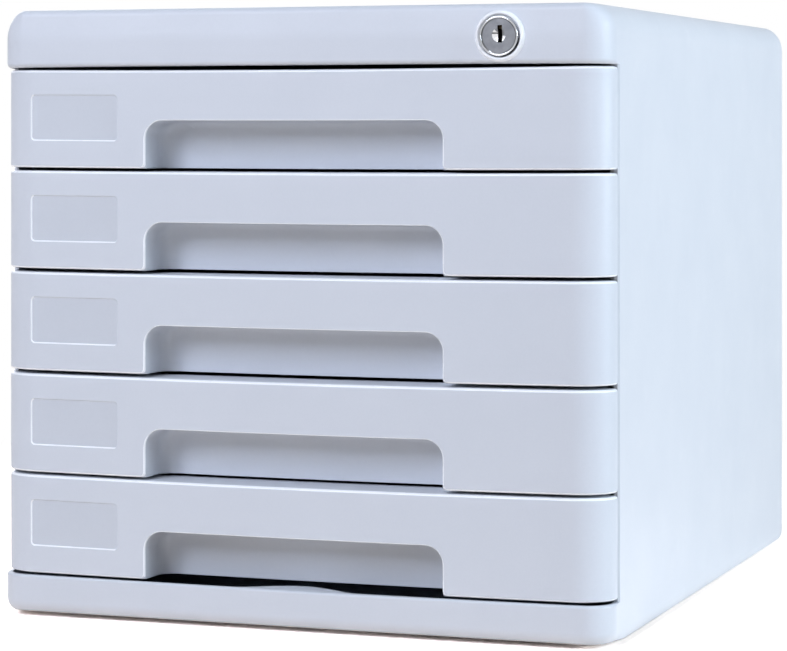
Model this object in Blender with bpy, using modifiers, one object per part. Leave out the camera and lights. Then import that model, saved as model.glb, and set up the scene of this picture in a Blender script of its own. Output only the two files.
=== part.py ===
"""Desktop file drawer: a lockable desktop cabinet with five shallow drawers for paper.

Metres, +X to the right, +Y to the rear, +Z up. The origin lies on the surface it stands on,
under the middle of the cabinet. Drawer 1 is the top drawer.
"""
import math

import bmesh
import bpy
from mathutils import Matrix, Vector

# Casing: outer size, bars above and below the drawers, wall
WIDTH = 0.300
CASE_DEPTH = 0.369
DRAWER_COUNT = 5
PITCH = 0.04763
BOTTOM_BAR = 0.0194
TOP_BAR = 0.0274
FOOT_STAND = 0.0015
WALL = 0.0026

# Casing: rounded edges, leaning upper front, step at the foot of the rear
PLAN_RADIUS = 0.013
SIDE_ROUND = 0.010
FRONT_ROUND = 0.003
REAR_ROUND = 0.008
BASE_SIDE_ROUND = 0.005
BASE_FRONT_ROUND = 0.0035
BASE_ROUND_CUT = 0.0013
BASE_ROUND_STEPS = 4
LEAN_HEIGHT = 0.0135
LEAN_SETBACK = 0.0012
REAR_STEP = 0.0012
REAR_STEP_HEIGHT = 0.0165
REAR_STEP_RUN = 0.005
CORNER_STEPS = 5
ROUND_STEPS = 5

# Play between pieces that touch, the seam between two fronts, how far a cutter runs past,
# and the distance under which points are one
FIT = 0.0003
SEAM = 0.0012
OVERRUN = 0.002
MERGE = 0.000003

# Front opening: its upper edge bows up, and a thin crescent shelf lies behind the bottom bar
TOP_BOW = 0.0012
BOW_STEPS = 12
SHELF_HALF = 0.032
SHELF_REACH = 0.010
SHELF_THICKNESS = 0.0016

# Rear window and back panel
WINDOW_LAP = 0.008
WINDOW_BASE = 0.020
WINDOW_HEAD = 0.018
WINDOW_ROUND = 0.006
BACK_THICKNESS = 0.002

# Base plate, corner posts and feet
BASE_RECESS = 0.001
BASE_THICKNESS = 0.0025
POST_RADIUS = 0.0045
POST_HEIGHT = 0.010
POST_WEB = 0.0024
FOOT_RADIUS = 0.009
FOOT_INSET = 0.032

# Screws of the back panel and the base plate
SCREW_HEAD_RADIUS = 0.003
SCREW_HEAD_HEIGHT = 0.0011
SCREW_RADIUS = 0.0014
SCREW_GRIP = 0.007
SCREW_BOSS_RADIUS = 0.0034
SCREW_BOSS_LENGTH = 0.0035
SCREW_SIDES = 12
SCREW_RISE = 0.040

# Drawer front: set back from the bars, wrapped round the corners, hollow at the rear,
# its rear frame clear of the casing's inner walls
FRONT_SETBACK = 0.001
FRONT_INSET = 0.0012
FRONT_RADIUS = 0.014
FRONT_WRAP = 0.015
FRONT_DEPTH = 0.024
FRONT_SKIN = 0.0024
FRONT_EDGE = 0.0008
FRONT_BACK_MARGIN = 0.0044
FRONT_BACK_WALL = 0.002
TOP_FLANGE = 0.0022

# Finger pocket under each front, open below, measured from the casing's side
POCKET_MARGIN = 0.0769
POCKET_RISE = 0.0229
POCKET_DEPTH = 0.022
POCKET_RADIUS = 0.0085
POCKET_FOOT = 0.0025
POCKET_WALL = 0.002
POCKET_STEPS = 5

# Label recess on the left of each front, measured from the casing's side
LABEL_WIDTH = 0.045
LABEL_HEIGHT = 0.0216
LABEL_MARGIN = 0.0167
LABEL_BASE = 0.0134
LABEL_DEPTH = 0.0005
LABEL_RADIUS = 0.0015

# Snap arms that hold the front on its tray, measured from the tray's side
ARM_INSET = 0.020
ARM_WIDTH = 0.003
ARM_BASE = 0.020
ARM_HEIGHT = 0.008
ARM_BARB = 0.0015
ARM_BARB_LENGTH = 0.002

# Document tray: space beside it, and the length that stays inside when it is pulled out
TRAY_SIDE_SPACE = 0.0153
TRAY_HELD = 0.0806
TRAY_WALL = 0.002
TRAY_LIFT = 0.0026
TRAY_RADIUS = 0.006
TRAY_EDGE = 0.0015
TRAY_BACK_GAP = 0.007
FLANGE_REACH = 0.0088
FLANGE_THICKNESS = 0.002

# Stops at the tray's rear and on the runners, a little below the ledge
STOP_DROP = 0.0032
STOP_HEIGHT = 0.007
STOP_REACH = 0.007
STOP_LENGTH = 0.004
STOP_INSET = 0.002
STOP_PLAY = 0.0005

# Runner panels with a ledge and a hold-down rib for each drawer
PANEL_THICKNESS = 0.0018
PANEL_START = 0.003
LEDGE_START = 0.047
LEDGE_THICKNESS = 0.002
LEDGE_SIDE_GAP = 0.0006
RIB_PLAY = 0.0005
RIB_GAP = 0.004
PANEL_HEAD = 0.012

# Lock: place from the casing's side, barrel, plug, keyway
LOCK_INSET = 0.0505
LOCK_RISE = 0.0129
LOCK_PROUD = 0.0024
BOSS_PROUD = 0.0004
BOSS_RADIUS = 0.0112
BOSS_ROOT_RADIUS = 0.0119
BOSS_BACK = 0.0045
HEAD_RADIUS = 0.00925
HEAD_ROUND = 0.0006
BARREL_RADIUS = 0.0079
BARREL_FLAT = 0.0069
BARREL_REACH = 0.0185
PLUG_HEAD_RADIUS = 0.0074
PLUG_HEAD_THICKNESS = 0.001
PLUG_SUNK = 0.0003
PLUG_RADIUS = 0.0055
KEYWAY_WIDTH = 0.0024
KEYWAY_HEIGHT = 0.0095
KEYWAY_DEPTH = 0.0165
TURNED_SIDES = 40

# Wafers in the plug
WAFER_COUNT = 5
WAFER_WIDTH = 0.0052
WAFER_HEIGHT = 0.0094
WAFER_THICKNESS = 0.0006
WAFER_WINDOW_WIDTH = 0.003
WAFER_WINDOW_HEIGHT = 0.0064
WAFER_FIRST = 0.004
WAFER_PITCH = 0.0023

# Nut, square drive, cam with its pin, and the cam's screw
NUT_RADIUS = 0.0112
NUT_THICKNESS = 0.004
DRIVE_SIDE = 0.006
DRIVE_LENGTH = 0.0018
CAM_THICKNESS = 0.0018
CAM_HUB_RADIUS = 0.0058
CAM_END_RADIUS = 0.003
CAM_THROW = 0.007
CAM_REST_ANGLE = math.radians(45)
CAM_TURN = math.radians(90)
CAM_STEPS = 10
PIN_RADIUS = 0.0015
PIN_LENGTH = 0.0060
CAM_SCREW_HEAD_RADIUS = 0.0034
CAM_SCREW_HEAD_HEIGHT = 0.0018
CAM_SCREW_RADIUS = 0.0014
CAM_SCREW_GRIP = 0.006

# Locking bar: strip beside the trays, arm to the cam, one tooth for each drawer, which
# passes between the tray's flange and its catch
BAR_THICKNESS = 0.002
BAR_WIDTH = 0.012
BAR_START = 0.030
BAR_PLATE_GAP = 0.0014
BAR_FOOT = 0.003
BAR_ARM_THICKNESS = 0.002
BAR_ARM_GAP = 0.0004
BAR_ARM_MARGIN = 0.0025
SLOT_PLAY = 0.00055
TOOTH_LENGTH = 0.0037
TOOTH_HEIGHT = 0.006
TOOTH_DROP = 0.0065
TOOTH_WALL_GAP = 0.0045
CATCH_PLAY = 0.0005
CATCH_LENGTH = 0.004
CATCH_DROP = 0.002
CATCH_HEIGHT = 0.0076
CATCH_REACH = 0.0085
GUIDE_BASE = 0.006
GUIDE_HEIGHT = 0.008
GUIDE_WALL = 0.002
GUIDE_LIP = 0.002

# Levels and planes that follow from the sizes above
CASE_REAR = (CASE_DEPTH + LOCK_PROUD) / 2
CASE_FRONT = CASE_REAR - CASE_DEPTH
CASE_BASE = FOOT_STAND
FIRST_LINE = CASE_BASE + BOTTOM_BAR
LAST_LINE = FIRST_LINE + DRAWER_COUNT * PITCH
CASE_TOP = LAST_LINE + TOP_BAR
HALF_WIDTH = WIDTH / 2
INNER_HALF = HALF_WIDTH - WALL
FRONT_BACK_HALF = INNER_HALF - FRONT_BACK_MARGIN
POCKET_HALF = HALF_WIDTH - POCKET_MARGIN
CORNER_X = HALF_WIDTH - PLAN_RADIUS
CORNER_FRONT = CASE_FRONT + PLAN_RADIUS
CORNER_REAR = CASE_REAR - PLAN_RADIUS
FRONT_PLANE = CASE_FRONT + FRONT_SETBACK
SIDE_WALL_START = FRONT_PLANE + FRONT_WRAP + FIT
BASE_UNDERSIDE = CASE_BASE + BASE_RECESS
BASE_TOP = BASE_UNDERSIDE + BASE_THICKNESS
BACK_REAR = CASE_REAR - REAR_STEP - WALL - FIT
BACK_FRONT = BACK_REAR - BACK_THICKNESS
TRAY_FRONT = FRONT_PLANE + FRONT_DEPTH + FIT
TRAY_REAR = BACK_FRONT - TRAY_BACK_GAP
TRAY_TRAVEL = TRAY_REAR - TRAY_FRONT - TRAY_HELD
FRONT_LOW = SEAM / 2
FRONT_HIGH = PITCH - SEAM / 2
RIM = FRONT_HIGH - TOP_FLANGE - FIT
LEDGE_TOP = RIM - FLANGE_THICKNESS - FIT
STOP_BASE = LEDGE_TOP - LEDGE_THICKNESS - STOP_DROP - STOP_HEIGHT
TOOTH_BASE = RIM - FLANGE_THICKNESS - TOOTH_DROP - TOOTH_HEIGHT
CATCH_BASE = TOOTH_BASE - CATCH_DROP - CATCH_HEIGHT
PANEL_OUTER = INNER_HALF - FIT
PANEL_INNER = PANEL_OUTER - PANEL_THICKNESS
TRAY_HALF = PANEL_INNER - TRAY_SIDE_SPACE
ARM_OFFSET = TRAY_HALF - ARM_INSET
PANEL_FRONT = TRAY_FRONT + PANEL_START
PANEL_REAR = CORNER_REAR - POST_RADIUS - FIT
LEDGE_FRONT = FRONT_PLANE + LEDGE_START
LOCK_X = HALF_WIDTH - LOCK_INSET
LOCK_Z = LAST_LINE + LOCK_RISE
HEAD_FACE = CASE_FRONT - LOCK_PROUD
BOSS_FACE = CASE_FRONT - BOSS_PROUD
BARREL_REAR = CASE_FRONT + BARREL_REACH
CAM_FRONT = BARREL_REAR + FIT + FIT
CAM_REAR = CAM_FRONT + CAM_THICKNESS
BAR_ARM_FRONT = CAM_REAR + FIT + CAM_SCREW_HEAD_HEIGHT + BAR_ARM_GAP
BAR_ARM_REAR = BAR_ARM_FRONT + BAR_ARM_THICKNESS
BAR_FRONT = FRONT_PLANE + BAR_START
BAR_REAR = BAR_FRONT + BAR_WIDTH
BAR_OUTER = PANEL_INNER - BAR_PLATE_GAP
BAR_INNER = BAR_OUTER - BAR_THICKNESS
CAM_LIFT = CAM_THROW * math.sin(CAM_REST_ANGLE)
SCREW_X = CORNER_X - WINDOW_LAP / 2
SCREW_HOLE_RADIUS = SCREW_RADIUS + FIT
SCREW_SINK = SCREW_HEAD_HEIGHT + FIT

# Colours, roughness and metallic value of each material
WHITE_PLASTIC = ("white_plastic", (0.80, 0.83, 0.90), 0.38, 0.0)
TRAY_PLASTIC = ("tray_plastic", (0.74, 0.76, 0.80), 0.45, 0.0)
INNER_PLASTIC = ("inner_plastic", (0.70, 0.72, 0.76), 0.5, 0.0)
RUBBER = ("soft_rubber", (0.06, 0.06, 0.065), 0.8, 0.0)
CHROME = ("chrome", (0.80, 0.80, 0.82), 0.12, 1.0)
SATIN_STEEL = ("satin_steel", (0.48, 0.48, 0.50), 0.32, 1.0)
ZINC_STEEL = ("zinc_steel", (0.62, 0.63, 0.65), 0.38, 1.0)
BRASS = ("brass", (0.72, 0.55, 0.26), 0.3, 1.0)


def clear_scene():
    """Start from an empty file."""
    for item in list(bpy.data.objects):
        bpy.data.objects.remove(item, do_unlink=True)


def new_collection(name):
    """A collection linked to the scene."""
    collection = bpy.data.collections.new(name)
    bpy.context.scene.collection.children.link(collection)
    return collection


def finish_material(item, finish):
    """Give an object its own material with colour, roughness and metallic value."""
    kind, colour, roughness, metallic = finish
    material = bpy.data.materials.new(item.name + "_" + kind)
    material.use_nodes = True
    shader = material.node_tree.nodes["Principled BSDF"]
    shader.inputs["Base Color"].default_value = (*colour, 1.0)
    shader.inputs["Roughness"].default_value = roughness
    shader.inputs["Metallic"].default_value = metallic
    item.data.materials.clear()
    item.data.materials.append(material)


def place_mesh(name, form, origin):
    """Store a bmesh, built in world coordinates, in an object with the given origin."""
    bmesh.ops.translate(form, verts=form.verts, vec=-Vector(origin))
    mesh = bpy.data.meshes.new(name)
    form.to_mesh(mesh)
    form.free()
    item = bpy.data.objects.new(name, mesh)
    item.location = origin
    parts.objects.link(item)
    return item


def block(name, low, high, origin=(0, 0, 0)):
    """A box between two opposite corners."""
    low = Vector(low)
    high = Vector(high)
    form = bmesh.new()
    bmesh.ops.create_cube(form, size=1.0)
    bmesh.ops.scale(form, verts=form.verts, vec=high - low)
    bmesh.ops.translate(form, verts=form.verts, vec=(low + high) / 2)
    return place_mesh(name, form, origin)


def rounded_block(name, low, high, radius, steps):
    """A box whose four edges along Y are rounded."""
    item = block(name, low, high)
    form = bmesh.new()
    form.from_mesh(item.data)
    edges = [edge for edge in form.edges
             if abs((edge.verts[0].co - edge.verts[1].co).normalized().y) > 0.5]
    bmesh.ops.bevel(form, geom=edges, offset=radius, segments=steps, profile=0.5, affect="EDGES")
    form.to_mesh(item.data)
    form.free()
    return item


def rod(name, radius, near, far, centre, sides, end_radius=None, origin=(0, 0, 0)):
    """A cylinder or cone along Y, from near to far, round a centre given in X and Z."""
    form = bmesh.new()
    end_radius = radius if end_radius is None else end_radius
    bmesh.ops.create_cone(form, cap_ends=True, segments=sides, radius1=end_radius, radius2=radius,
                          depth=far - near)
    bmesh.ops.rotate(form, verts=form.verts, matrix=Matrix.Rotation(math.pi / 2, 3, "X"))
    bmesh.ops.translate(form, verts=form.verts, vec=(centre[0], (near + far) / 2, centre[1]))
    return place_mesh(name, form, origin)


def post(name, radius, low, high, centre, sides, origin=(0, 0, 0)):
    """An upright cylinder round a centre given in X and Y."""
    form = bmesh.new()
    bmesh.ops.create_cone(form, cap_ends=True, segments=sides, radius1=radius, radius2=radius,
                          depth=high - low)
    bmesh.ops.translate(form, verts=form.verts, vec=(centre[0], centre[1], (low + high) / 2))
    return place_mesh(name, form, origin)


def solid_from_curve(curve_object):
    """Turn a filled curve into a closed mesh object with the same name and place."""
    bpy.context.view_layer.update()
    depsgraph = bpy.context.evaluated_depsgraph_get()
    mesh = bpy.data.meshes.new_from_object(curve_object.evaluated_get(depsgraph))
    form = bmesh.new()
    form.from_mesh(mesh)
    bmesh.ops.remove_doubles(form, verts=form.verts, dist=MERGE)
    bmesh.ops.recalc_face_normals(form, faces=form.faces)
    form.to_mesh(mesh)
    form.free()
    name = curve_object.name
    matrix = curve_object.matrix_world.copy()
    bpy.data.objects.remove(curve_object, do_unlink=True)
    item = bpy.data.objects.new(name, mesh)
    item.matrix_world = matrix
    parts.objects.link(item)
    return item


def flat_plate(name, points, start, end, upright, centre=(0, 0)):
    """A flat outline swept from start to end.

    An upright outline is given in X and Z and swept along Y, the other in X and Y along Z.
    """
    curve = bpy.data.curves.new(name, "CURVE")
    curve.dimensions = "2D"
    curve.fill_mode = "BOTH"
    curve.extrude = (end - start) / 2
    spline = curve.splines.new("POLY")
    spline.points.add(len(points) - 1)
    for place, (across, up) in zip(spline.points, points):
        place.co = (across, up, 0, 1)
    spline.use_cyclic_u = True
    item = bpy.data.objects.new(name, curve)
    if upright:
        item.location = (centre[0], (start + end) / 2, centre[1])
        item.rotation_euler = (math.pi / 2, 0, 0)
    else:
        item.location = (centre[0], centre[1], (start + end) / 2)
    parts.objects.link(item)
    return solid_from_curve(item)


def turned(name, profile, centre, face, closed):
    """A turned piece along Y: profile points are (radius, distance behind the face).

    The profile starts at the front of the outer side. A closed profile makes a ring or tube.
    """
    mesh = bpy.data.meshes.new(name)
    vertices = [(radius, 0, -behind) for radius, behind in profile]
    edges = [(index, index + 1) for index in range(len(profile) - 1)]
    if closed:
        edges.append((len(profile) - 1, 0))
    mesh.from_pydata(vertices, edges, [])
    item = bpy.data.objects.new(name, mesh)
    item.location = (centre[0], face, centre[1])
    item.rotation_euler = (math.pi / 2, 0, 0)
    parts.objects.link(item)
    screw = item.modifiers.new("Turn", "SCREW")
    screw.axis = "Z"
    screw.steps = TURNED_SIDES
    screw.render_steps = TURNED_SIDES
    screw.use_merge_vertices = True
    screw.merge_threshold = MERGE
    return item


def outline(height, half_width, front, rear, corner_x, corner_front, corner_rear, steps):
    """A rectangle in plan whose corners are quarter ellipses about fixed centres."""
    corners = ((corner_x, corner_rear, rear - corner_rear, 0),
               (-corner_x, corner_rear, rear - corner_rear, 1),
               (-corner_x, corner_front, corner_front - front, 2),
               (corner_x, corner_front, corner_front - front, 3))
    points = []
    for x, y, y_radius, quarter in corners:
        for step in range(steps + 1):
            angle = (quarter + step / steps) * math.pi / 2
            points.append(Vector((x + (half_width - corner_x) * math.cos(angle),
                                  y + y_radius * math.sin(angle), height)))
    return points


def loft(name, outlines, origin=(0, 0, 0)):
    """A closed body through plan outlines, from the lowest to the highest."""
    form = bmesh.new()
    loops = [[form.verts.new(point) for point in points] for points in outlines]
    count = len(loops[0])
    for lower, upper in zip(loops, loops[1:]):
        for index in range(count):
            following = (index + 1) % count
            form.faces.new((lower[index], lower[following], upper[following], upper[index]))
    form.faces.new(list(reversed(loops[0])))
    form.faces.new(loops[-1])
    return place_mesh(name, form, origin)


def combine(target, tool, operation):
    """Cut a tool from a target, or join it on, with a Boolean that stays live."""
    parts.objects.unlink(tool)
    cutters.objects.link(tool)
    tool.display_type = "WIRE"
    tool.hide_render = True
    boolean = target.modifiers.new(tool.name, "BOOLEAN")
    boolean.operation = operation
    boolean.solver = "EXACT"
    boolean.object = tool


def cut(target, *tools):
    """Remove tools from a target."""
    for tool in tools:
        combine(target, tool, "DIFFERENCE")


def join(target, *tools):
    """Join tools to a target."""
    for tool in tools:
        combine(target, tool, "UNION")


def freeze(item):
    """Replace an object's mesh with its finished shape, so that copies can share it."""
    bpy.context.view_layer.update()
    depsgraph = bpy.context.evaluated_depsgraph_get()
    mesh = bpy.data.meshes.new_from_object(item.evaluated_get(depsgraph))
    tools = [modifier.object for modifier in item.modifiers if modifier.type == "BOOLEAN"]
    item.modifiers.clear()
    item.data = mesh
    for tool in tools:
        bpy.data.objects.remove(tool, do_unlink=True)


def smooth(item):
    """Smooth shading with sharp edges kept."""
    item.data.shade_smooth()
    item.data.set_sharp_from_angle(angle=math.radians(35))


def round_inset(depth, radius):
    """How far a rounded edge draws in at a depth below its top."""
    if depth >= radius or radius <= 0:
        return 0.0
    return radius - math.sqrt(radius ** 2 - (radius - depth) ** 2)


def ease(value):
    """Smooth step between zero and one."""
    share = min(max(value, 0.0), 1.0)
    return share * share * (3 - 2 * share)


def casing_outline(height, inset):
    """The casing in plan at one height, moved in from its outer faces."""
    below_top = CASE_TOP - inset - height
    side = inset + round_inset(below_top, SIDE_ROUND - inset)
    lean_share = min(max((height - CASE_TOP + LEAN_HEIGHT) / LEAN_HEIGHT, 0.0), 1.0)
    front = inset + LEAN_SETBACK * lean_share + round_inset(below_top, FRONT_ROUND - inset)
    step_share = ease((height - CASE_BASE - REAR_STEP_HEIGHT) / REAR_STEP_RUN)
    rear = inset + REAR_STEP * step_share + round_inset(below_top, REAR_ROUND - inset)
    above_base = height - CASE_BASE + BASE_ROUND_CUT
    if inset == 0:
        side += round_inset(above_base, BASE_SIDE_ROUND)
        front += round_inset(above_base, BASE_FRONT_ROUND)
        rear += round_inset(above_base, BASE_SIDE_ROUND)
    return outline(height, HALF_WIDTH - side, CASE_FRONT + front, CASE_REAR - rear,
                   CORNER_X, CORNER_FRONT, CORNER_REAR, CORNER_STEPS)


def casing_body(name, inset, low):
    """The casing's outer form, or its hollow with a wall's inset."""
    top = CASE_TOP - inset
    side = SIDE_ROUND - inset
    heights = [low, CASE_BASE + REAR_STEP_HEIGHT, CASE_BASE + REAR_STEP_HEIGHT + REAR_STEP_RUN,
               CASE_TOP - LEAN_HEIGHT]
    if inset == 0:
        rise = BASE_SIDE_ROUND - BASE_ROUND_CUT
        rounds = [CASE_BASE + rise * (1 - math.cos(math.pi / 2 * step / BASE_ROUND_STEPS))
                  for step in range(1, BASE_ROUND_STEPS + 1)]
        heights = heights[:1] + rounds + heights[1:]
    heights += [top - side * (1 - math.sin(math.pi / 2 * step / ROUND_STEPS))
                for step in range(ROUND_STEPS + 1)]
    return loft(name, [casing_outline(height, inset) for height in heights])


def front_opening():
    """The opening for the drawers, with a bowed upper edge, back to the side walls' edges."""
    half = HALF_WIDTH + OVERRUN
    low = FIRST_LINE - SEAM / 2
    high = LAST_LINE + SEAM / 2
    points = [(-half, low), (half, low)]
    for step in range(BOW_STEPS + 1):
        share = 1 - 2 * step / BOW_STEPS
        points.append((half * share, high + TOP_BOW * (1 - share ** 2)))
    return flat_plate("opening_cutter", points, CASE_FRONT - OVERRUN, SIDE_WALL_START, True)


def crescent_shelf():
    """The thin shelf behind the middle of the bottom bar's upper edge."""
    high = FIRST_LINE - SEAM / 2
    root = CASE_FRONT + WALL / 2
    points = [(SHELF_HALF, root)]
    for step in range(BOW_STEPS + 1):
        share = 1 - 2 * step / BOW_STEPS
        reach = (SHELF_REACH + WALL) * (1 - share ** 2) ** 2
        points.append((SHELF_HALF * share, root + WALL / 2 + reach))
    points.append((-SHELF_HALF, root))
    return flat_plate("shelf", points, high - SHELF_THICKNESS, high, False)


def lock_hole(name, play):
    """A round hole with two flats, which keeps the lock's barrel from turning."""
    hole = rod(name, BARREL_RADIUS + play, BOSS_FACE - OVERRUN, CASE_FRONT + BOSS_BACK + OVERRUN,
               (LOCK_X, LOCK_Z), TURNED_SIDES)
    flat = BARREL_FLAT + play
    reach = BARREL_RADIUS + OVERRUN
    for side in (-1, 1):
        ends = sorted((LOCK_X + side * flat, LOCK_X + side * reach))
        cut(hole, block(name + "_flat", (ends[0], BOSS_FACE - 2 * OVERRUN, LOCK_Z - reach),
                        (ends[1], CASE_FRONT + BOSS_BACK + 2 * OVERRUN, LOCK_Z + reach)))
    freeze(hole)
    return hole


def post_places():
    """Centres of the four corner posts in plan."""
    return [(x, y) for x in (-CORNER_X, CORNER_X) for y in (CORNER_FRONT, CORNER_REAR)]


def back_screw_places():
    """Centres of the back panel's four screws in X and Z."""
    return [(x, z) for x in (-SCREW_X, SCREW_X)
            for z in (BASE_TOP + SCREW_RISE, CASE_TOP - SCREW_RISE)]


def make_housing_shell():
    """The moulded outer casing: top, sides, both bars, rear frame, lock boss and posts."""
    shell = casing_body("housing_shell", 0.0, CASE_BASE)
    cut(shell, casing_body("hollow_cutter", WALL, CASE_BASE - OVERRUN), front_opening())
    window = rounded_block("window_cutter",
                           (-CORNER_X + WINDOW_LAP, CASE_REAR - PLAN_RADIUS,
                            CASE_BASE + WINDOW_BASE),
                           (CORNER_X - WINDOW_LAP, CASE_REAR + OVERRUN, CASE_TOP - WINDOW_HEAD),
                           WINDOW_ROUND, 3)
    cut(shell, window)
    boss = rod("lock_boss", BOSS_RADIUS, BOSS_FACE, CASE_FRONT + BOSS_BACK, (LOCK_X, LOCK_Z),
               TURNED_SIDES, BOSS_ROOT_RADIUS)
    join(shell, boss, crescent_shelf())
    cut(shell, lock_hole("lock_hole_cutter", FIT))
    low = BASE_TOP + FIT
    for x, y in post_places():
        column = post("corner_post", POST_RADIUS, low, low + POST_HEIGHT, (x, y), 16)
        side = math.copysign(1, x)
        ends = sorted((x, side * (HALF_WIDTH - WALL / 2)))
        web = block("corner_web", (ends[0], y - POST_WEB / 2, low + FIT),
                    (ends[1], y + POST_WEB / 2, low + POST_HEIGHT - FIT))
        join(column, web)
        freeze(column)
        join(shell, column)
        cut(shell, post("post_hole", SCREW_HOLE_RADIUS, low - OVERRUN,
                        BASE_UNDERSIDE + SCREW_SINK + SCREW_GRIP + FIT, (x, y), SCREW_SIDES))
    for x, z in back_screw_places():
        face = CASE_REAR - REAR_STEP
        cut(shell, rod("lip_hole", SCREW_HOLE_RADIUS, face - WALL - OVERRUN, face + OVERRUN,
                       (x, z), SCREW_SIDES),
            rod("lip_sink", SCREW_HEAD_RADIUS + FIT, face - SCREW_SINK, face + OVERRUN, (x, z),
                SCREW_SIDES))
    finish_material(shell, WHITE_PLASTIC)


def make_base_plate():
    """The floor of the casing, screwed to the corner posts from below."""
    inset = WALL + FIT
    heights = (BASE_UNDERSIDE, BASE_TOP)
    plate = loft("base_plate",
                 [outline(height, HALF_WIDTH - inset, CASE_FRONT + inset, CASE_REAR - inset,
                          CORNER_X, CORNER_FRONT, CORNER_REAR, CORNER_STEPS)
                  for height in heights])
    for place in post_places():
        cut(plate, post("plate_hole", SCREW_HOLE_RADIUS, BASE_UNDERSIDE - OVERRUN,
                        BASE_TOP + OVERRUN, place, SCREW_SIDES),
            post("plate_sink", SCREW_HEAD_RADIUS + FIT, BASE_UNDERSIDE - OVERRUN,
                 BASE_UNDERSIDE + SCREW_SINK, place, SCREW_SIDES))
    finish_material(plate, INNER_PLASTIC)


def make_back_panel():
    """The rear wall, inside the casing's rear frame."""
    panel = block("back_panel", (-CORNER_X, BACK_FRONT, BASE_TOP + FIT),
                  (CORNER_X, BACK_REAR, CASE_TOP - WALL - REAR_ROUND))
    for place in back_screw_places():
        join(panel, rod("panel_boss", SCREW_BOSS_RADIUS, BACK_FRONT - SCREW_BOSS_LENGTH,
                        BACK_REAR - BACK_THICKNESS / 2, place, SCREW_SIDES))
    for place in back_screw_places():
        cut(panel, rod("boss_hole", SCREW_HOLE_RADIUS,
                       BACK_FRONT - SCREW_BOSS_LENGTH - OVERRUN, BACK_REAR + OVERRUN, place,
                       SCREW_SIDES))
    finish_material(panel, INNER_PLASTIC)


def screw_pattern(upright):
    """One screw with its head's underside at the origin, upright or along Y."""
    make = post if upright else rod
    head = make("screw_head", SCREW_HEAD_RADIUS, -SCREW_HEAD_HEIGHT, 0.0, (0, 0), SCREW_SIDES)
    join(head, make("shank", SCREW_RADIUS, -SCREW_HEAD_HEIGHT / 2, SCREW_GRIP, (0, 0),
                    SCREW_SIDES))
    freeze(head)
    finish_material(head, ZINC_STEEL)
    mesh = head.data
    bpy.data.objects.remove(head, do_unlink=True)
    return mesh


def corner_name(kind, first, second, ends):
    """A plain name for one of four equal pieces, such as back_screw_upper_left."""
    return f"{kind}_{ends[second > 0]}_{'right' if first > 0 else 'left'}"


def make_screws():
    """Base plate screws from below and back panel screws from the rear, on shared meshes."""
    mesh = screw_pattern(True)
    for x, y in post_places():
        screw = bpy.data.objects.new(corner_name("base_screw", x, y, ("front", "rear")), mesh)
        screw.location = (x, y, BASE_UNDERSIDE + SCREW_HEAD_HEIGHT)
        parts.objects.link(screw)
    mesh = screw_pattern(False)
    middle = (BASE_TOP + CASE_TOP) / 2
    for x, z in back_screw_places():
        name = corner_name("back_screw", x, z - middle, ("lower", "upper"))
        screw = bpy.data.objects.new(name, mesh)
        screw.location = (x, CASE_REAR - REAR_STEP - SCREW_HEAD_HEIGHT, z)
        screw.rotation_euler = (0, 0, math.pi)
        parts.objects.link(screw)


def make_feet():
    """Four soft feet under the base plate."""
    places = {"foot_front_left": (-1, CASE_FRONT + FOOT_INSET),
              "foot_front_right": (1, CASE_FRONT + FOOT_INSET),
              "foot_rear_left": (-1, CASE_REAR - FOOT_INSET),
              "foot_rear_right": (1, CASE_REAR - FOOT_INSET)}
    for name, (side, y) in places.items():
        centre = (side * (HALF_WIDTH - FOOT_INSET), y)
        foot = post(name, FOOT_RADIUS, 0.0, BASE_UNDERSIDE - FIT, centre, 24, (*centre, 0.0))
        smooth(foot)
        finish_material(foot, RUBBER)


def drawer_line(number):
    """Height of the seam line under a drawer, counted from the top."""
    return FIRST_LINE + (DRAWER_COUNT - number) * PITCH


def panel_block(name, side, near_x, far_x, front, rear, low, high):
    """A block on one runner panel, given by distances from the middle."""
    ends = sorted((side * near_x, side * far_x))
    return block(name, (ends[0], front, low), (ends[1], rear, high))


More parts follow.
